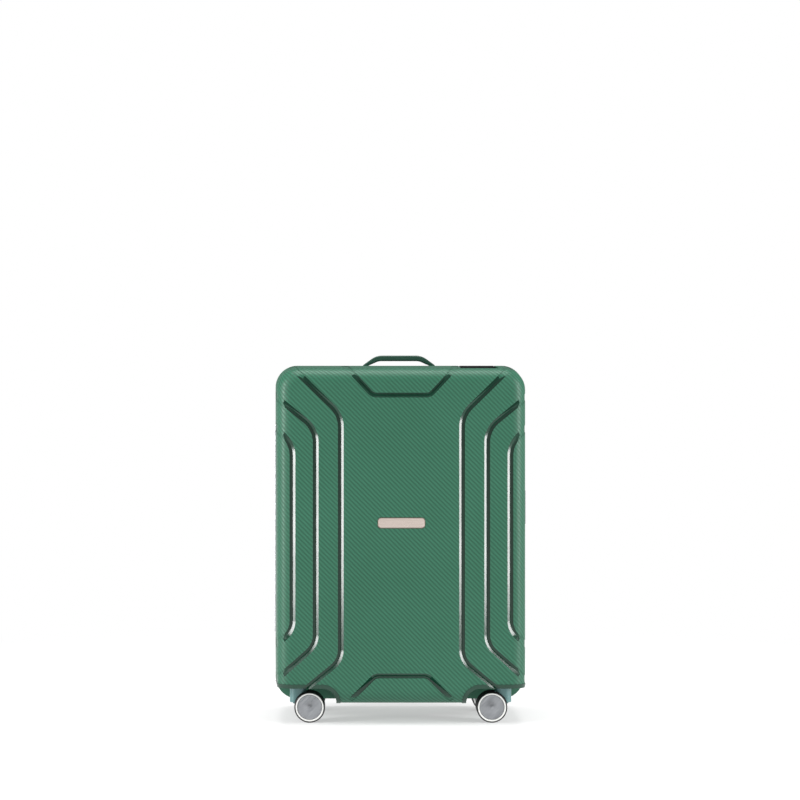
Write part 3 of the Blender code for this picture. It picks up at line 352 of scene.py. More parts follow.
def twill_group():
    """Two-over, two-under weave pressed into the panels. Across says which tow is on top."""
    tree, given, out = new_group("pressed_twill", (
        ("Vector", "NodeSocketVector", None), ("Pitch", "NodeSocketFloat", WEAVE_PITCH)),
        ("Across", "Height"))
    split = add(tree, "ShaderNodeSeparateXYZ", {0: given.outputs[0]})
    u = calc(tree, "DIVIDE", split.outputs[0], given.outputs[1])
    v = calc(tree, "DIVIDE", split.outputs[1], given.outputs[1])
    cells = calc(tree, "ADD", calc(tree, "FLOOR", u), calc(tree, "FLOOR", v))
    rest = calc(tree, "FLOORED_MODULO", cells, 4.0)
    across = calc(tree, "LESS_THAN", rest, 1.5)
    crowns = []
    for place in (u, v):
        part = calc(tree, "FRACT", place)
        crowns.append(calc(tree, "MULTIPLY", calc(tree, "MULTIPLY", part, 4.0),
                           calc(tree, "SUBTRACT", 1.0, part)))
    height = blend_value(tree, across, crowns[0], crowns[1])
    tree.links.new(across, out.inputs[0])
    tree.links.new(calc(tree, "SQRT", height), out.inputs[1])
    return tree


def brushed_group():
    """Fine lines of a brushed or drawn metal, along the first axis of the vector."""
    tree, given, out = new_group("brushed_lines", (
        ("Vector", "NodeSocketVector", None), ("Scale", "NodeSocketFloat", 60.0)), ("Lines",))
    squeeze = add(tree, "ShaderNodeVectorMath", {0: given.outputs[0], 1: (1.0, 45.0, 45.0)},
                  operation="MULTIPLY")
    lines = add(tree, "ShaderNodeTexNoise", {"Vector": squeeze.outputs[0], "Scale": given.outputs[1],
                                             "Detail": 3.0, "Roughness": 0.65})
    tree.links.new(lines.outputs[0], out.inputs[0])
    return tree


def cloth_group():
    """Plain weave: threads over and under in two directions."""
    tree, given, out = new_group("plain_weave", (
        ("Vector", "NodeSocketVector", None), ("Pitch", "NodeSocketFloat", 0.0006)), ("Thread", "Over"))
    split = add(tree, "ShaderNodeSeparateXYZ", {0: given.outputs[0]})
    waves = []
    for index in range(2):
        turn = calc(tree, "MULTIPLY", calc(tree, "DIVIDE", split.outputs[index], given.outputs[1]), math.pi)
        waves.append(calc(tree, "SINE", turn))
    over = calc(tree, "GREATER_THAN", calc(tree, "MULTIPLY", waves[0], waves[1]), 0.0)
    thread = blend_value(tree, over, calc(tree, "ABSOLUTE", waves[0]), calc(tree, "ABSOLUTE", waves[1]))
    tree.links.new(thread, out.inputs[0])
    tree.links.new(over, out.inputs[1])
    return tree


GRAIN = grain_group()
TWILL = twill_group()
BRUSHED = brushed_group()
WEAVE = cloth_group()


def colour(red, green, blue):
    """A colour given in the 0 to 255 steps of a screen, as the linear value that a shader takes."""
    def linear(step):
        share = step / 255.0
        return share / 12.92 if share <= 0.04045 else ((share + 0.055) / 1.055) ** 2.4
    return (linear(red), linear(green), linear(blue), 1.0)


def use_group(tree, group, **links):
    made = tree.nodes.new("ShaderNodeGroup")
    made.node_tree = group
    for key, value in links.items():
        if isinstance(value, bpy.types.NodeSocket):
            tree.links.new(value, made.inputs[key])
        else:
            made.inputs[key].default_value = value
    return made


def new_material(name, **sockets):
    material = bpy.data.materials.new(name)
    material.use_nodes = True
    tree = material.node_tree
    shader = tree.nodes["Principled BSDF"]
    for key, value in sockets.items():
        shader.inputs[key.replace("_", " ")].default_value = value
    place = add(tree, "ShaderNodeTexCoord")
    return material, tree, shader, place


def bump(tree, shader, height, strength, distance):
    made = add(tree, "ShaderNodeBump", {"Height": height, "Strength": strength, "Distance": distance})
    tree.links.new(made.outputs[0], shader.inputs["Normal"])


def plastic(name, dark, light, rough=(0.35, 0.5), grain=1800.0, depth=0.00004, strength=0.5, **sockets):
    """Moulded plastic or rubber: cloudy colour, changing gloss and a fine pebble."""
    material, tree, shader, place = new_material(name, **sockets)
    grains = use_group(tree, GRAIN, Vector=place.outputs["Object"], Grain=grain)
    clouds = add(tree, "ShaderNodeMapRange", {0: grains.outputs[1], 1: 0.35, 2: 0.65}).outputs[0]
    tree.links.new(blend_colour(tree, clouds, dark, light), shader.inputs["Base Color"])
    tree.links.new(blend_value(tree, clouds, rough[0], rough[1]), shader.inputs["Roughness"])
    bump(tree, shader, grains.outputs[0], strength, depth)
    return material


def metal(name, dark, light, rough=(0.25, 0.4), scale=60.0, turn=(0.0, 0.0, 0.0), metallic=1.0,
          depth=0.00002):
    """Brushed or drawn metal."""
    material, tree, shader, place = new_material(name, Metallic=metallic)
    turned_place = add(tree, "ShaderNodeMapping", {"Vector": place.outputs["Object"], "Rotation": turn})
    lines = use_group(tree, BRUSHED, Vector=turned_place.outputs[0], Scale=scale)
    share = add(tree, "ShaderNodeMapRange", {0: lines.outputs[0], 1: 0.3, 2: 0.7}).outputs[0]
    tree.links.new(blend_colour(tree, share, dark, light), shader.inputs["Base Color"])
    tree.links.new(blend_value(tree, share, rough[1], rough[0]), shader.inputs["Roughness"])
    bump(tree, shader, lines.outputs[0], 0.4, depth)
    return material


def cloth(name, dark, light, pitch, rough=0.9, depth=0.0001, alpha_holes=False):
    """Woven cloth on the piece's own UV map; a net leaves holes between its threads."""
    material, tree, shader, place = new_material(name, Roughness=rough)
    shader.inputs["Sheen Weight"].default_value = 0.2
    weave = use_group(tree, WEAVE, Vector=place.outputs["UV"], Pitch=pitch)
    grains = use_group(tree, GRAIN, Vector=place.outputs["Object"], Grain=900.0, Cloud=6.0)
    shade = calc(tree, "MULTIPLY", weave.outputs[0], grains.outputs[1])
    tree.links.new(blend_colour(tree, shade, dark, light), shader.inputs["Base Color"])
    if alpha_holes:
        holes = calc(tree, "GREATER_THAN", weave.outputs[0], 0.62)
        tree.links.new(calc(tree, "SUBTRACT", 1.0, holes), shader.inputs["Alpha"])
    bump(tree, shader, weave.outputs[0], 0.6, depth)
    return material


def shell_panel_material():
    """Green panels with the pressed twill, coloured with painted sheen and shade: tow crowns and tows
    running one way lighter, dips between tows darker.
    """
    material, tree, shader, place = new_material("panel_green")
    weave = use_group(tree, TWILL, Vector=place.outputs["UV"])
    grains = use_group(tree, GRAIN, Vector=place.outputs["Object"], Grain=1500.0, Cloud=5.0)
    clouds = add(tree, "ShaderNodeMapRange", {0: grains.outputs[1], 1: 0.3, 2: 0.7}).outputs[0]
    # Painted sheen and shade: the tow crowns and the tows that run one way are coloured lighter, the dips
    # between tows darker.
    dark = blend_colour(tree, clouds, colour(28, 70, 52), colour(31, 74, 56))
    light = blend_colour(tree, clouds, colour(46, 98, 76), colour(50, 103, 81))
    crown_sheen_share = calc(tree, "MULTIPLY", weave.outputs[1], calc(tree, "ADD", weave.outputs[0], 0.25), clamp=True)
    tree.links.new(blend_colour(tree, crown_sheen_share, dark, light), shader.inputs["Base Color"])
    tree.links.new(blend_value(tree, weave.outputs[0], 0.50, 0.38), shader.inputs["Roughness"])
    shader.inputs["Specular IOR Level"].default_value = 0.3
    height = calc(tree, "ADD", weave.outputs[1], calc(tree, "MULTIPLY", grains.outputs[0], 0.15))
    bump(tree, shader, height, 0.35, 0.00025)
    return material


def make_materials():
    return {
        "panel": shell_panel_material(),
        # The groove finish is darker than the panels: a painted shade in the grooves, and on the wheel-bay
        # lips and fitting bays that share it.
        "groove": plastic("groove_green_painted_shade", colour(8, 46, 32), colour(12, 53, 38), rough=(0.16, 0.22),
                          grain=900.0, depth=0.00001),
        "mark": bpy.data.materials.new("groove_floor_mark"),
        "inner": plastic("shell_inside", colour(38, 92, 70), colour(44, 98, 76), rough=(0.45, 0.6)),
        "trim": plastic("trim_green", colour(18, 56, 43), colour(25, 64, 50), rough=(0.32, 0.45)),
        "black": plastic("black_plastic", colour(18, 19, 20), colour(30, 31, 33), rough=(0.35, 0.5)),
        "rubber": plastic("seal_rubber", colour(14, 14, 14), colour(24, 24, 24), rough=(0.7, 0.85)),
        "tyre": plastic("tyre_black", colour(16, 16, 17), colour(28, 28, 29), rough=(0.42, 0.6)),
        "teal": plastic("fork_teal", colour(70, 104, 104), colour(86, 124, 124), rough=(0.3, 0.42)),
        "white": plastic("rim_white", colour(224, 224, 222), colour(236, 236, 234), rough=(0.25, 0.35)),
        "steel": metal("plated_steel", colour(176, 178, 180), colour(206, 208, 210)),
        "disc": metal("brushed_disc", colour(112, 114, 118), colour(172, 174, 178), scale=34.0,
                      turn=(0.0, math.radians(45.0), 0.0), metallic=0.6),
        "tube": metal("drawn_tube", colour(186, 188, 191), colour(206, 208, 211), scale=40.0,
                      turn=(0.0, math.radians(90.0), 0.0)),
        "badge": metal("badge_plate", colour(206, 190, 180), colour(232, 217, 208), scale=30.0,
                       metallic=0.85),
        "badge_edge": metal("badge_edge", colour(120, 108, 100), colour(150, 136, 127), scale=30.0),
        "lining": cloth("lining_cloth", colour(40, 42, 45), colour(92, 95, 99), 0.0012),
        "net": cloth("pocket_net", colour(20, 20, 22), colour(60, 61, 64), 0.0030, alpha_holes=True),
        "webbing": cloth("strap_webbing", colour(16, 17, 18), colour(70, 72, 75), 0.0022, depth=0.0003),
    }


FINISH = make_materials()


# ---- the shell ---------------------------------------------------------------------------------------
def case_half(name, side, inset, start, *materials):
    """One half as a solid, offset inwards: round corners, drafted sides and a rounded face."""
    end = DEPTH - inset
    first = inset + DRAFT * start
    levels = sorted((side * start, side * end))
    item = block(name, (-HALF + first, levels[0], BOTTOM + first), (HALF - first, levels[1], TOP - first),
                 *materials, rounding=max(CORNER - first, 0.004), steps=12, which=edge_runs(1))
    shrink = DRAFT * (end - start)
    half_high = (TOP - BOTTOM) / 2
    pick(item, "VERT", at_level(1, side * end))
    bpy.ops.transform.resize(value=(1 - shrink / (HALF - first), 1.0, 1 - shrink / (half_high - first)),
                             center_override=(0.0, side * end, MIDDLE_Z))
    done()
    pick(item, "EDGE", at_level(1, side * end))
    bpy.ops.mesh.bevel(offset=max(FILLET - inset, 0.004), segments=9, profile=0.5, affect="EDGES")
    done()
    return item


def round_corners(points, radius, steps=9):
    """A line with its corners replaced by arcs."""
    points = [Vector(p) for p in points]
    line = [points[0]]
    for before, corner, after in zip(points, points[1:], points[2:]):
        back, ahead = (before - corner).normalized(), (after - corner).normalized()
        half_angle = back.angle(ahead) / 2
        reach = radius / math.tan(half_angle)
        centre = corner + (back + ahead).normalized() * (radius / math.sin(half_angle))
        first, last = corner + back * reach - centre, corner + ahead * reach - centre
        for i in range(steps + 1):
            share = i / steps
            line.append(centre + first.slerp(last, share).normalized() * radius)
    line.append(points[-1])
    return line


def line_normals(line):
    """The direction to the left of the line at each of its points."""
    normals = []
    for i in range(len(line)):
        run = line[min(i + 1, len(line) - 1)] - line[max(i - 1, 0)]
        normals.append(Vector((-run.y, run.x)).normalized())
    return normals


def groove_lines():
    """Every groove as (line, width, side of the line that the leaning wall is on)."""
    found = []
    for _, x_side in SIDES:
        for corners in SIDE_GROOVES:
            upper = round_corners((corners[0], corners[1], middle_point(corners[1], corners[2])), UPPER_BEND)
            lower = round_corners((middle_point(corners[1], corners[2]), *corners[2:4]), LOWER_BEND)
            line = upper + lower[1:] + [Vector(p) for p in corners[4:]]
            found.append(([Vector((x_side * p.x, p.y)) for p in line], GROOVE_WIDTH, -x_side))
    for legs, lean in ((TOP_GROOVE, 1), (LOW_GROOVE, -1)):
        leg = [Vector(p) for p in legs]
        mirrored = [Vector((-p.x, p.y)) for p in reversed(leg)]
        found.append((round_corners(leg + mirrored, TIGHT_BEND), END_GROOVE_WIDTH, lean))
    return found


def middle_point(a, b):
    return ((a[0] + b[0]) / 2, (a[1] + b[1]) / 2)


GROOVES = groove_lines()


def groove_cutter(name, side):
    """All grooves of one half as bands with a level floor, which fade out over the rounded edge."""
    bands = []
    for index, (line, width, _) in enumerate(GROOVES):
        normals = line_normals(line)
        left = [p + n * width / 2 for p, n in zip(line, normals)]
        right = [p - n * width / 2 for p, n in zip(line, normals)]
        outline = [(p.x, p.y) for p in left + right[::-1]]
        # The groove bands take the groove finish, whose darker colour is a painted shade.
        bands.append(slab(f"band_{name}_{index}", outline, "Y", side * GROOVE_START, side * (DEPTH + FAR),
                          FINISH["groove"]))
    bands = join(bands)
    floor = case_half("floor_" + name, side, FADED_DEPTH, GROOVE_START / 2, FINISH["mark"])
    corners = sorted_corners((-1, side * (DEPTH - GROOVE_DEPTH), -1), (1, side * (DEPTH + FAR), 2))
    cut(floor, block("floor_level_" + name, *corners, FINISH["mark"]))
    return cut(bands, floor)


def nearest_on_grooves(x, z):
    """Signed distance to the nearest groove's centre line, its normal there, and its leaning side."""
    best = None
    place = Vector((x, z))
    for line, _, lean in GROOVES:
        for a, b in zip(line, line[1:]):
            run = b - a
            share = min(max((place - a).dot(run) / run.length_squared, 0.0), 1.0)
            offset = place - (a + run * share)
            if best is None or offset.length < best[0]:
                normal = Vector((-run.y, run.x)).normalized()
                best = (offset.length, offset.dot(normal), normal, lean)
    return best[1:]


def lean_walls(shell):
    """Moves the foot of the wall nearest the middle outwards, so that this wall faces the nearest side."""
    mesh = shell.data
    mark = [m.name for m in mesh.materials].index("groove_floor_mark")
    groove = [m.name for m in mesh.materials].index("groove_green_painted_shade")
    floor, wall = set(), set()
    for face in mesh.polygons:
        if face.material_index == mark:
            floor.update(face.vertices)
        elif face.material_index == groove:
            wall.update(face.vertices)
    for index in floor & wall:
        place = mesh.vertices[index].co
        across, normal, lean = nearest_on_grooves(place.x, place.z)
        facing = 1.0 if abs(place.y) > DEPTH - GROOVE_DEPTH - 1e-4 else 0.0
        if across * lean > 0.0:
            shift = normal * (-lean * GROOVE_SLOPE * facing)
            place.x += shift.x
            place.z += shift.y
    # Floor faces at groove depth take the groove finish and its painted shade; the rest go back to the
    # panel.
    panel = [m.name for m in mesh.materials].index("panel_green")
    for face in mesh.polygons:
        if face.material_index == mark:
            level = abs(face.center.y) > DEPTH - GROOVE_DEPTH - 1e-4
            face.material_index = groove if level else panel


def arch_outline(x_side, grow):
    """Wheel bay seen from the front: a level ceiling, a round inner corner, and open below and outside."""
    inner, ceiling, radius = BAY_INNER - grow, BAY_CEILING + grow, BAY_RADIUS + grow
    outline = [(HALF + FAR, ceiling)]
    for i in range(13):
        angle = math.radians(90.0 + 7.5 * i)
        outline.append((inner + radius * (1 + math.cos(angle)), ceiling - radius * (1 - math.sin(angle))))
    outline += [(inner, -FAR), (HALF + FAR, -FAR)]
    return [(x_side * x, z) for x, z in outline]


def arch(name, x_side, side, grow, *materials):
    return slab(name, arch_outline(x_side, grow), "Y", side * (BAY_WALL_Y - grow), side * (DEPTH + FAR),
                *materials)


def latch_bays():
    """Corners of the bays that the latches sit in, as the model cuts them."""
    room, reach_back, deep = LATCH_ROOM, LATCH_BAY_BACK, LATCH_BAY_DEEP
    bays = {}
    for label, reach_front in LATCH_BAY_FRONTS:
        low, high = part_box("latch_base_" + label)
        if label == "side":
            low = Vector((HALF - deep, -reach_front, low.z - room))
            high = Vector((HALF + FAR, reach_back, high.z + room))
        else:
            levels = (TOP - deep, TOP + FAR) if label == "top" else (BOTTOM - FAR, BOTTOM + deep)
            low = Vector((low.x - room, -reach_front, levels[0]))
            high = Vector((high.x + room, reach_back, levels[1]))
        bays[label] = (low, high)
    return bays


def hinge_bay():
    low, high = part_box("hinge_rear_leaf")
    reach = high.y + HINGE_ROOM
    return (Vector((-HALF - FAR, -reach, low.z - HINGE_ROOM)),
            Vector((-HALF + HINGE_BAY_DEEP, reach, high.z + HINGE_ROOM)))


def grown(corners, wall):
    room = Vector((wall,) * 3)
    return corners[0] - room, corners[1] + room


def node_hole(node, room=GAP):
    low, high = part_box(node)
    return low - Vector((room,) * 3), high + Vector((room,) * 3)


def panel_uv(item):
    """Lays the weave over the half without stretching it: flat on the face, then down the sides."""
    mesh = item.data
    layer = mesh.uv_layers.new(name="weave") if not mesh.uv_layers else mesh.uv_layers[0]
    edge = DRAFT * DEPTH + FILLET
    half_x, half_z, radius = HALF - edge, (TOP - BOTTOM) / 2 - edge, CORNER - 0.026
    placed = []
    for vertex in mesh.vertices:
        place = Vector((vertex.co.x, vertex.co.z - MIDDLE_Z))
        core = Vector((min(max(place.x, radius - half_x), half_x - radius),
                       min(max(place.y, radius - half_z), half_z - radius)))
        out = place - core
        if out.length <= radius:
            placed.append(place)
            continue
        normal = out.normalized()
        past = min((out.length - radius) / FILLET, 1.0)
        run = FILLET * math.asin(past)
        run += max(DEPTH - FILLET - abs(vertex.co.y), 0.0)
        placed.append(core + normal * (radius + run))
    for corner, loop in enumerate(mesh.loops):
        layer.data[corner].uv = placed[loop.vertex_index]


def make_shell(name, side, body):
    shell = case_half(name + "_look", side, 0.0, SEAM_GAP, FINISH["panel"])
    for label, x_side in SIDES:
        # The lip takes the groove finish, whose darker colour is a painted shade.
        lip = case_half(f"lip_{label}", side, -LIP_PROUD, LIP_START, FINISH["groove"])
        cut(lip, arch(f"lip_area_{label}", x_side, side, LIP_WIDTH, FINISH["groove"]), "INTERSECT")
        cut(shell, lip, "UNION")
    cut(shell, groove_cutter(name, side))
    lean_walls(shell)
    hollow = case_half("hollow_" + name, side, SHELL_BACKING, -FAR, FINISH["inner"])
    cut(hollow, block("seam_room", *sorted_corners((-1, -2 * FAR * side, -1), (1, side * SEAM_ROOM, 2))))
    rim_room = case_half("rim_room_" + name, side, WALL + GAP / 2, -FAR, FINISH["inner"])
    cut(rim_room, block("seam_slice", *sorted_corners((-1, -2 * FAR * side, -1), (1, side * SEAM_ROOM, 2))),
        "INTERSECT")
    bays = dict(latch_bays())
    walls = {label: grown(corners, WALL) for label, corners in bays.items()}
    bays["hinge"] = hinge_bay()
    walls["hinge"] = grown(bays["hinge"], 0.001)
    if side > 0:
        start, end = FINGER_BAY
        bays["finger"] = (Vector((*start, TOP - FINGER_BAY_DEEP)), Vector((*end, TOP + FAR)))
        walls["finger"] = grown(bays["finger"], WALL)
    for label, x_side in SIDES:
        cut(shell, arch(f"bay_{label}", x_side, side, 0.0, FINISH["inner"]))
        for room in (hollow, rim_room):
            cut(room, arch(f"bay_wall_{label}", x_side, side, WALL, FINISH["inner"]))
    for label in bays:
        # The bays take the groove finish, whose darker colour is a painted shade in the recess.
        cut(shell, block("bay_" + label, *bays[label], FINISH["groove"]))
        for room in (hollow, rim_room):
            cut(room, block("bay_wall_" + label, *walls[label], FINISH["inner"]))
    if side > 0:
        cup_low, cup_high = node_hole("trolley_cup")
        cut(shell, block("cup_hole", cup_low, (cup_high.x, cup_high.y, TOP + FAR), FINISH["inner"]))
        for label, x_side in SIDES:
            low, high = node_hole("top_handle_bracket_" + label)
            cut(shell, block("bracket_hole", low, (high.x, high.y, TOP + FAR), FINISH["inner"]))
        low, high = node_hole("side_handle_cup")
        cut(shell, block("side_cup_hole", low, (HALF + FAR, high.y, high.z), FINISH["inner"]))
        low, high = node_hole("lock_body")
        cut(shell, block("lock_hole", low, (HALF + FAR, high.y, high.z), FINISH["inner"]))
    else:
        low, high = node_hole("badge_plate")
        # The badge recess takes the groove finish, whose darker colour is a painted shade.
        cut(shell, block("badge_hole", (low.x, -DEPTH - FAR, low.z), (high.x, -DEPTH + BADGE_DEEP, high.z),
                         FINISH["groove"], rounding=BADGE_ROUNDING, steps=5, which=edge_runs(1)))
    cut(shell, hollow)
    cut(shell, rim_room)
    soften(shell, 0.0007, 2)
    panel_uv(shell)
    return put(shell, body, "shell_green", name)


def sorted_corners(a, b):
    low = [min(p, q) for p, q in zip(a, b)]
    high = [max(p, q) for p, q in zip(a, b)]
    return low, high


# ---- rounded copies of the model's small parts -------------------------------------------------------
def refine(node, finish, width=0.0004, steps=2, limit=30.0):
    """A part as the model has it, with its edges broken and its round faces smooth."""
    source = NODES[node]
    item = source.copy()
    item.data = source.data.copy()
    item.name = node + "_look"
    item.parent = None
    for key in list(item.keys()):
        if key.startswith("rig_"):
            del item[key]
    bpy.context.scene.collection.objects.link(item)
    pick(item, "VERT", everything)
    bpy.ops.mesh.remove_doubles(threshold=1e-6)
    bpy.ops.mesh.dissolve_limited(angle_limit=math.radians(1.0))
    done()
    item.data.materials.clear()
    item.data.materials.append(FINISH[finish])
    soften(item, width, steps, limit)
    return put(item, source["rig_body"], record_slot(node), node)


def cloth_uv(item):
    """Lays the weave along the two axes that each face runs along, in metres."""
    mesh = item.data
    layer = mesh.uv_layers.new(name="cloth") if not mesh.uv_layers else mesh.uv_layers[0]
    for face in mesh.polygons:
        axis = max(range(3), key=lambda i: abs(face.normal[i]))
        across, along = [i for i in range(3) if i != axis]
        for corner in face.loop_indices:
            place = mesh.vertices[mesh.loops[corner].vertex_index].co
            layer.data[corner].uv = (place[across], place[along])


def make_linings():
    """Cloth tubs inside both halves, and a flat net pocket in the lid."""
    for half, shell in (("rear", "rear_shell"), ("front", "front_shell")):
        lining = refine(half + "_lining", "lining", 0.0)
        cloth_uv(lining)
    net = refine("mesh_pocket", "net", 0.0)
    cloth_uv(net)


def record_slot(node):
    for part in frame["record"]["subparts"]:
        if part["node"] == node:
            return part["material_slot"]
    return None


# ---- wheels ------------------------------------------------------------------------------------------
def make_wheel(tag, label):
    """Tyre, white rim and brushed disc, turned about the axle. The disc faces away from the fork."""
    low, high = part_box(f"wheel_{tag}_{label}")
    middle = (low + high) / 2
    fork_low, fork_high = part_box("caster_fork_" + tag)
    out = 1 if middle.y > (fork_low.y + fork_high.y) / 2 else -1
    radius = (high.z - low.z) / 2
    inner = (low.y if out > 0 else high.y) - middle.y
    outer = -inner
    body = f"wheel_{tag}_{label}"
    tread = radius - 0.0002
    tyre = [(0.0215, inner), (tread - 0.0024, inner), (tread - 0.0007, inner + out * 0.0007),
            (tread, inner + out * 0.0026), (tread, outer - out * 0.0026),
            (tread - 0.0007, outer - out * 0.0007), (tread - 0.0014, outer - out * 0.0002),
            (0.0260, outer - out * 0.0006), (0.0254, outer - out * 0.0016),
            (0.0215, outer - out * 0.0020), (0.0215, inner)]
    rim = [(0.0252, outer - out * 0.0042), (0.0254, outer - out * 0.0012), (0.0251, outer - out * 0.0003),
           (0.0241, outer), (0.0229, outer - out * 0.0004), (0.0224, outer - out * 0.0014),
           (0.0222, outer - out * 0.0042), (0.0252, outer - out * 0.0042)]
    disc = [(0.0, outer - out * 0.0009), (0.0045, outer - out * 0.0010), (0.0054, outer - out * 0.0017),
            (0.0150, outer - out * 0.0024), (0.0215, outer - out * 0.0019), (0.0226, outer - out * 0.0022),
            (0.0226, outer - out * 0.0050), (0.0, outer - out * 0.0050)]
    hub = [(0.0036, inner + out * 0.0002), (0.0075, inner + out * 0.0002), (0.0085, inner + out * 0.0012),
           (0.0200, inner + out * 0.0022), (0.0216, inner + out * 0.0008), (0.0216, outer - out * 0.0040),
           (0.0036, outer - out * 0.0040), (0.0036, inner + out * 0.0002)]
    for part, profile, finish, slot in (("tyre", tyre, "tyre", "tyre_black"),
                                        ("rim", rim, "white", "wheel_rim_white"),
                                        ("disc", disc, "disc", "wheel_disc_silver"),
                                        ("hub", hub, "black", "black_plastic")):
        item = turned(f"wheel_{part}_{tag}_{label}", profile, middle, "Y", 64, FINISH[finish])
        soften(item, 0.0)
        put(item, body, slot)
    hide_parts(f"wheel_{tag}_{label}")


# ---- carry handle ------------------------------------------------------------------------------------
def make_top_handle():
    low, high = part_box("top_handle")
    half, top = high.x, high.z
    upper = round_corners([(half, low.z), (half, TOP + 0.0010), (OUTER_SHOULDER, top)], 0.0060, 6)[:-1]
    upper += round_corners([upper[-1], (OUTER_SHOULDER, top), (0.0, top)], OUTER_ROUNDING, 12)[1:]
    inner, lower = half - LEG_THICK, top - GRIP_THICK
    under = round_corners([(0.0, lower), (INNER_SHOULDER, lower), (inner, TOP - 0.0010)], INNER_ROUNDING, 10)
    under = under[:-1] + round_corners([under[-2], (inner, TOP - 0.0010), (inner, low.z)], 0.0050, 6)[1:]
    item = slab("top_handle_look", ordered(upper, under), "Y", low.y, high.y, FINISH["trim"])
    soften(item, 0.0026, 4, 50.0)
    return put(item, "carry_handle", "trim_green", "top_handle")


def ordered(upper, under):
    """The whole handle's outline from its right half: over the top, then back underneath."""
    over = [(p.x, p.y) for p in upper]
    below = [(p.x, p.y) for p in under]
    left_over = [(-x, z) for x, z in reversed(over[:-1])]
    left_below = [(-x, z) for x, z in reversed(below[1:])]
    return over + left_over + left_below + below


# ---- badge -------------------------------------------------------------------------------------------
def make_badge():
    low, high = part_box("badge_plate")
    plate = block("badge_plate_look", low, high, FINISH["badge"], rounding=BADGE_ROUNDING, steps=8,
                  which=edge_runs(1))
    front = at_level(1, low.y)
    pick(plate, "FACE", front)
    bpy.ops.mesh.inset(thickness=0.0011, depth=0.0)
    bpy.ops.mesh.inset(thickness=0.0003, depth=-0.00035)
    bpy.ops.mesh.select_all(action="INVERT")
    plate.data.materials.append(FINISH["badge_edge"])
    plate.active_material_index = 1
    bpy.ops.object.material_slot_assign()
    done()
    soften(plate, 0.00015, 2)
    return put(plate, "lid", "badge_metal", "badge_plate")


# ---- stage, lights and camera ------------------------------------------------------------------------
def make_stage():
    """A floor that fades into the white backdrop. It glows, about half near the case as painted light that
    keeps the shadow under the case soft, and fully far off.
    """
    bpy.ops.mesh.primitive_plane_add(size=60.0, location=(0.0, 0.0, 0.0))
    floor = bpy.context.object
    floor.name = "floor"
    material, tree, shader, place = new_material("pale_floor", Roughness=0.9)
    shader.inputs["Specular IOR Level"].default_value = 0.1
    grains = use_group(tree, GRAIN, Vector=place.outputs["Object"], Grain=60.0, Cloud=2.0)
    tree.links.new(blend_colour(tree, grains.outputs[1], colour(240, 240, 240), colour(246, 246, 246)),
                   shader.inputs["Base Color"])
    distance = add(tree, "ShaderNodeVectorMath", {0: place.outputs["Object"]}, operation="LENGTH")
    # Glow share: about half near the case, a painted light that lifts the shadow there, rising to full far
    # off where the floor meets the backdrop.
    far = add(tree, "ShaderNodeMapRange", {0: distance.outputs["Value"], 1: 0.5, 2: 1.6, 3: 0.45, 4: 1.0},
              interpolation_type="SMOOTHSTEP").outputs[0]
    glow = add(tree, "ShaderNodeEmission", {"Strength": 1.0})
    mixed = add(tree, "ShaderNodeMixShader", {0: far, 1: shader.outputs[0], 2: glow.outputs[0]})
    tree.links.new(mixed.outputs[0], tree.nodes["Material Output"].inputs["Surface"])
    floor.data.materials.append(material)


def area_light(name, place, target, size, power, tint=(1.0, 1.0, 1.0)):
    data = bpy.data.lights.new(name, "AREA")
    data.shape = "RECTANGLE"
    data.size, data.size_y = size
    data.energy = power
    data.color = tint
    lamp = bpy.data.objects.new(name, data)
    bpy.context.scene.collection.objects.link(lamp)
    lamp.location = place
    lamp.rotation_euler = (Vector(target) - Vector(place)).to_track_quat("-Z", "Y").to_euler()


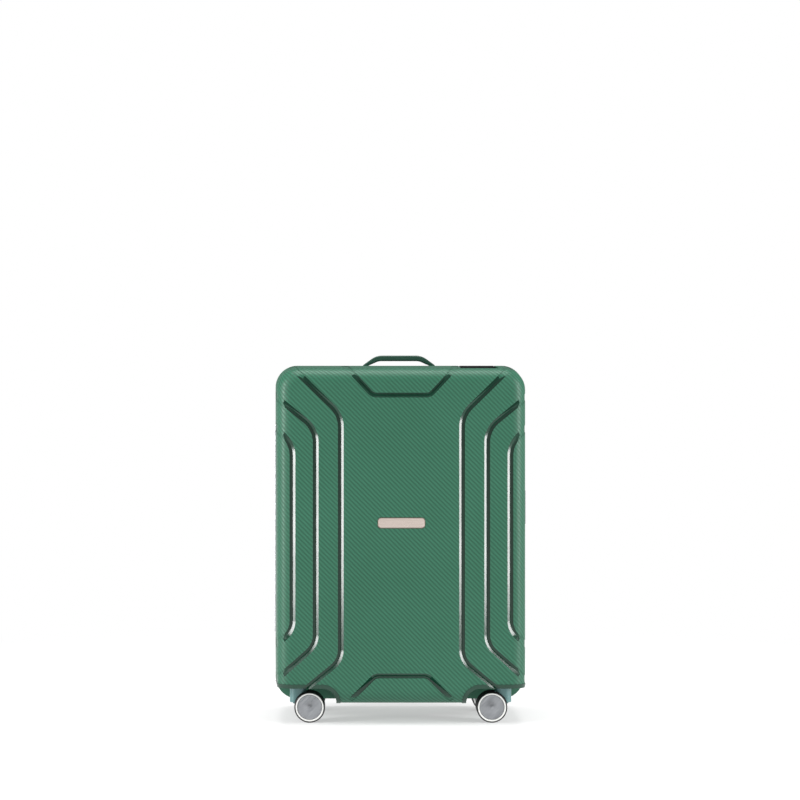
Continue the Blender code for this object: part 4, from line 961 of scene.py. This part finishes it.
def make_lights():
    """White behind the case, a dimmer room around it, and a tall soft box on each side."""
    world = bpy.data.worlds.new("studio")
    world.use_nodes = True
    tree = world.node_tree
    path = add(tree, "ShaderNodeLightPath")
    room = blend_value(tree, path.outputs["Is Glossy Ray"], 0.70, 0.25)
    backdrop = tree.nodes["Background"]
    backdrop.inputs[0].default_value = (1.0, 1.0, 1.0, 1.0)
    tree.links.new(blend_value(tree, path.outputs["Is Camera Ray"], room, 1.0), backdrop.inputs[1])
    bpy.context.scene.world = world
    area_light("strip_left", (-2.2, -0.95, 0.70), (0.0, -0.1, 0.35), (0.5, 2.2), 80.0)
    area_light("strip_right", (2.2, -0.95, 0.70), (0.0, -0.1, 0.35), (0.5, 2.2), 70.0)
    area_light("overhead", (0.0, -0.1, 2.6), (0.0, 0.0, 0.0), (1.6, 1.2), 45.0)


CAMERA_PLACE = (-0.11, -4.135, 0.581)
CAMERA_TARGET = (0.001, 0.0, 0.581)
CAMERA_LENS = 101.1


def make_camera():
    data = bpy.data.cameras.new("camera")
    data.lens = CAMERA_LENS
    data.clip_end = 100.0
    camera = bpy.data.objects.new("camera", data)
    bpy.context.scene.collection.objects.link(camera)
    camera.location = CAMERA_PLACE
    camera.rotation_euler = (math.radians(90.0), 0.0, 0.0)
    data.shift_x = (CAMERA_TARGET[0] - CAMERA_PLACE[0]) / (-CAMERA_PLACE[1]) * CAMERA_LENS / 36.0
    bpy.context.scene.camera = camera


REFINED = {
    "trim": ("top_handle_bracket_left", "top_handle_bracket_right", "side_handle", "side_handle_cup",
             "trolley_button", "front_rim", "rear_rim"),
    "rubber": ("seal_strip",),
    "black": ("lock_body", "trolley_cup", "trolley_grip", "strap_buckle",
              "latch_lever_top", "latch_lever_side", "latch_lever_bottom",
              "latch_base_top", "latch_base_side", "latch_base_bottom"),
    "steel": ("hinge_rear_leaf", "hinge_front_leaf", "hinge_pin",
              "lock_dial_1", "lock_dial_2", "lock_dial_3", "lock_slider"),
    "webbing": ("compression_strap_left", "compression_strap_right"),
}


def main():
    bpy.context.scene.view_settings.view_transform = "Standard"
    make_camera()
    make_lights()
    make_stage()
    make_shell("front_shell", -1, "lid")
    make_shell("rear_shell", 1, "root")
    for row in ROWS:
        for column in ("left", "right"):
            tag = f"{row}_{column}"
            for label in "ab":
                make_wheel(tag, label)
            refine("caster_fork_" + tag, "teal", 0.0006)
            refine("caster_mount_" + tag, "black")
            refine("caster_axle_" + tag, "steel")
    make_top_handle()
    make_badge()
    for finish, nodes in REFINED.items():
        for node in nodes:
            piece = refine(node, finish)
            if finish == "webbing":
                cloth_uv(piece)
    make_linings()
    for stage in ("outer", "middle", "inner"):
        for label in ("left", "right"):
            refine(f"trolley_{stage}_tube_{label}", "tube")


main()
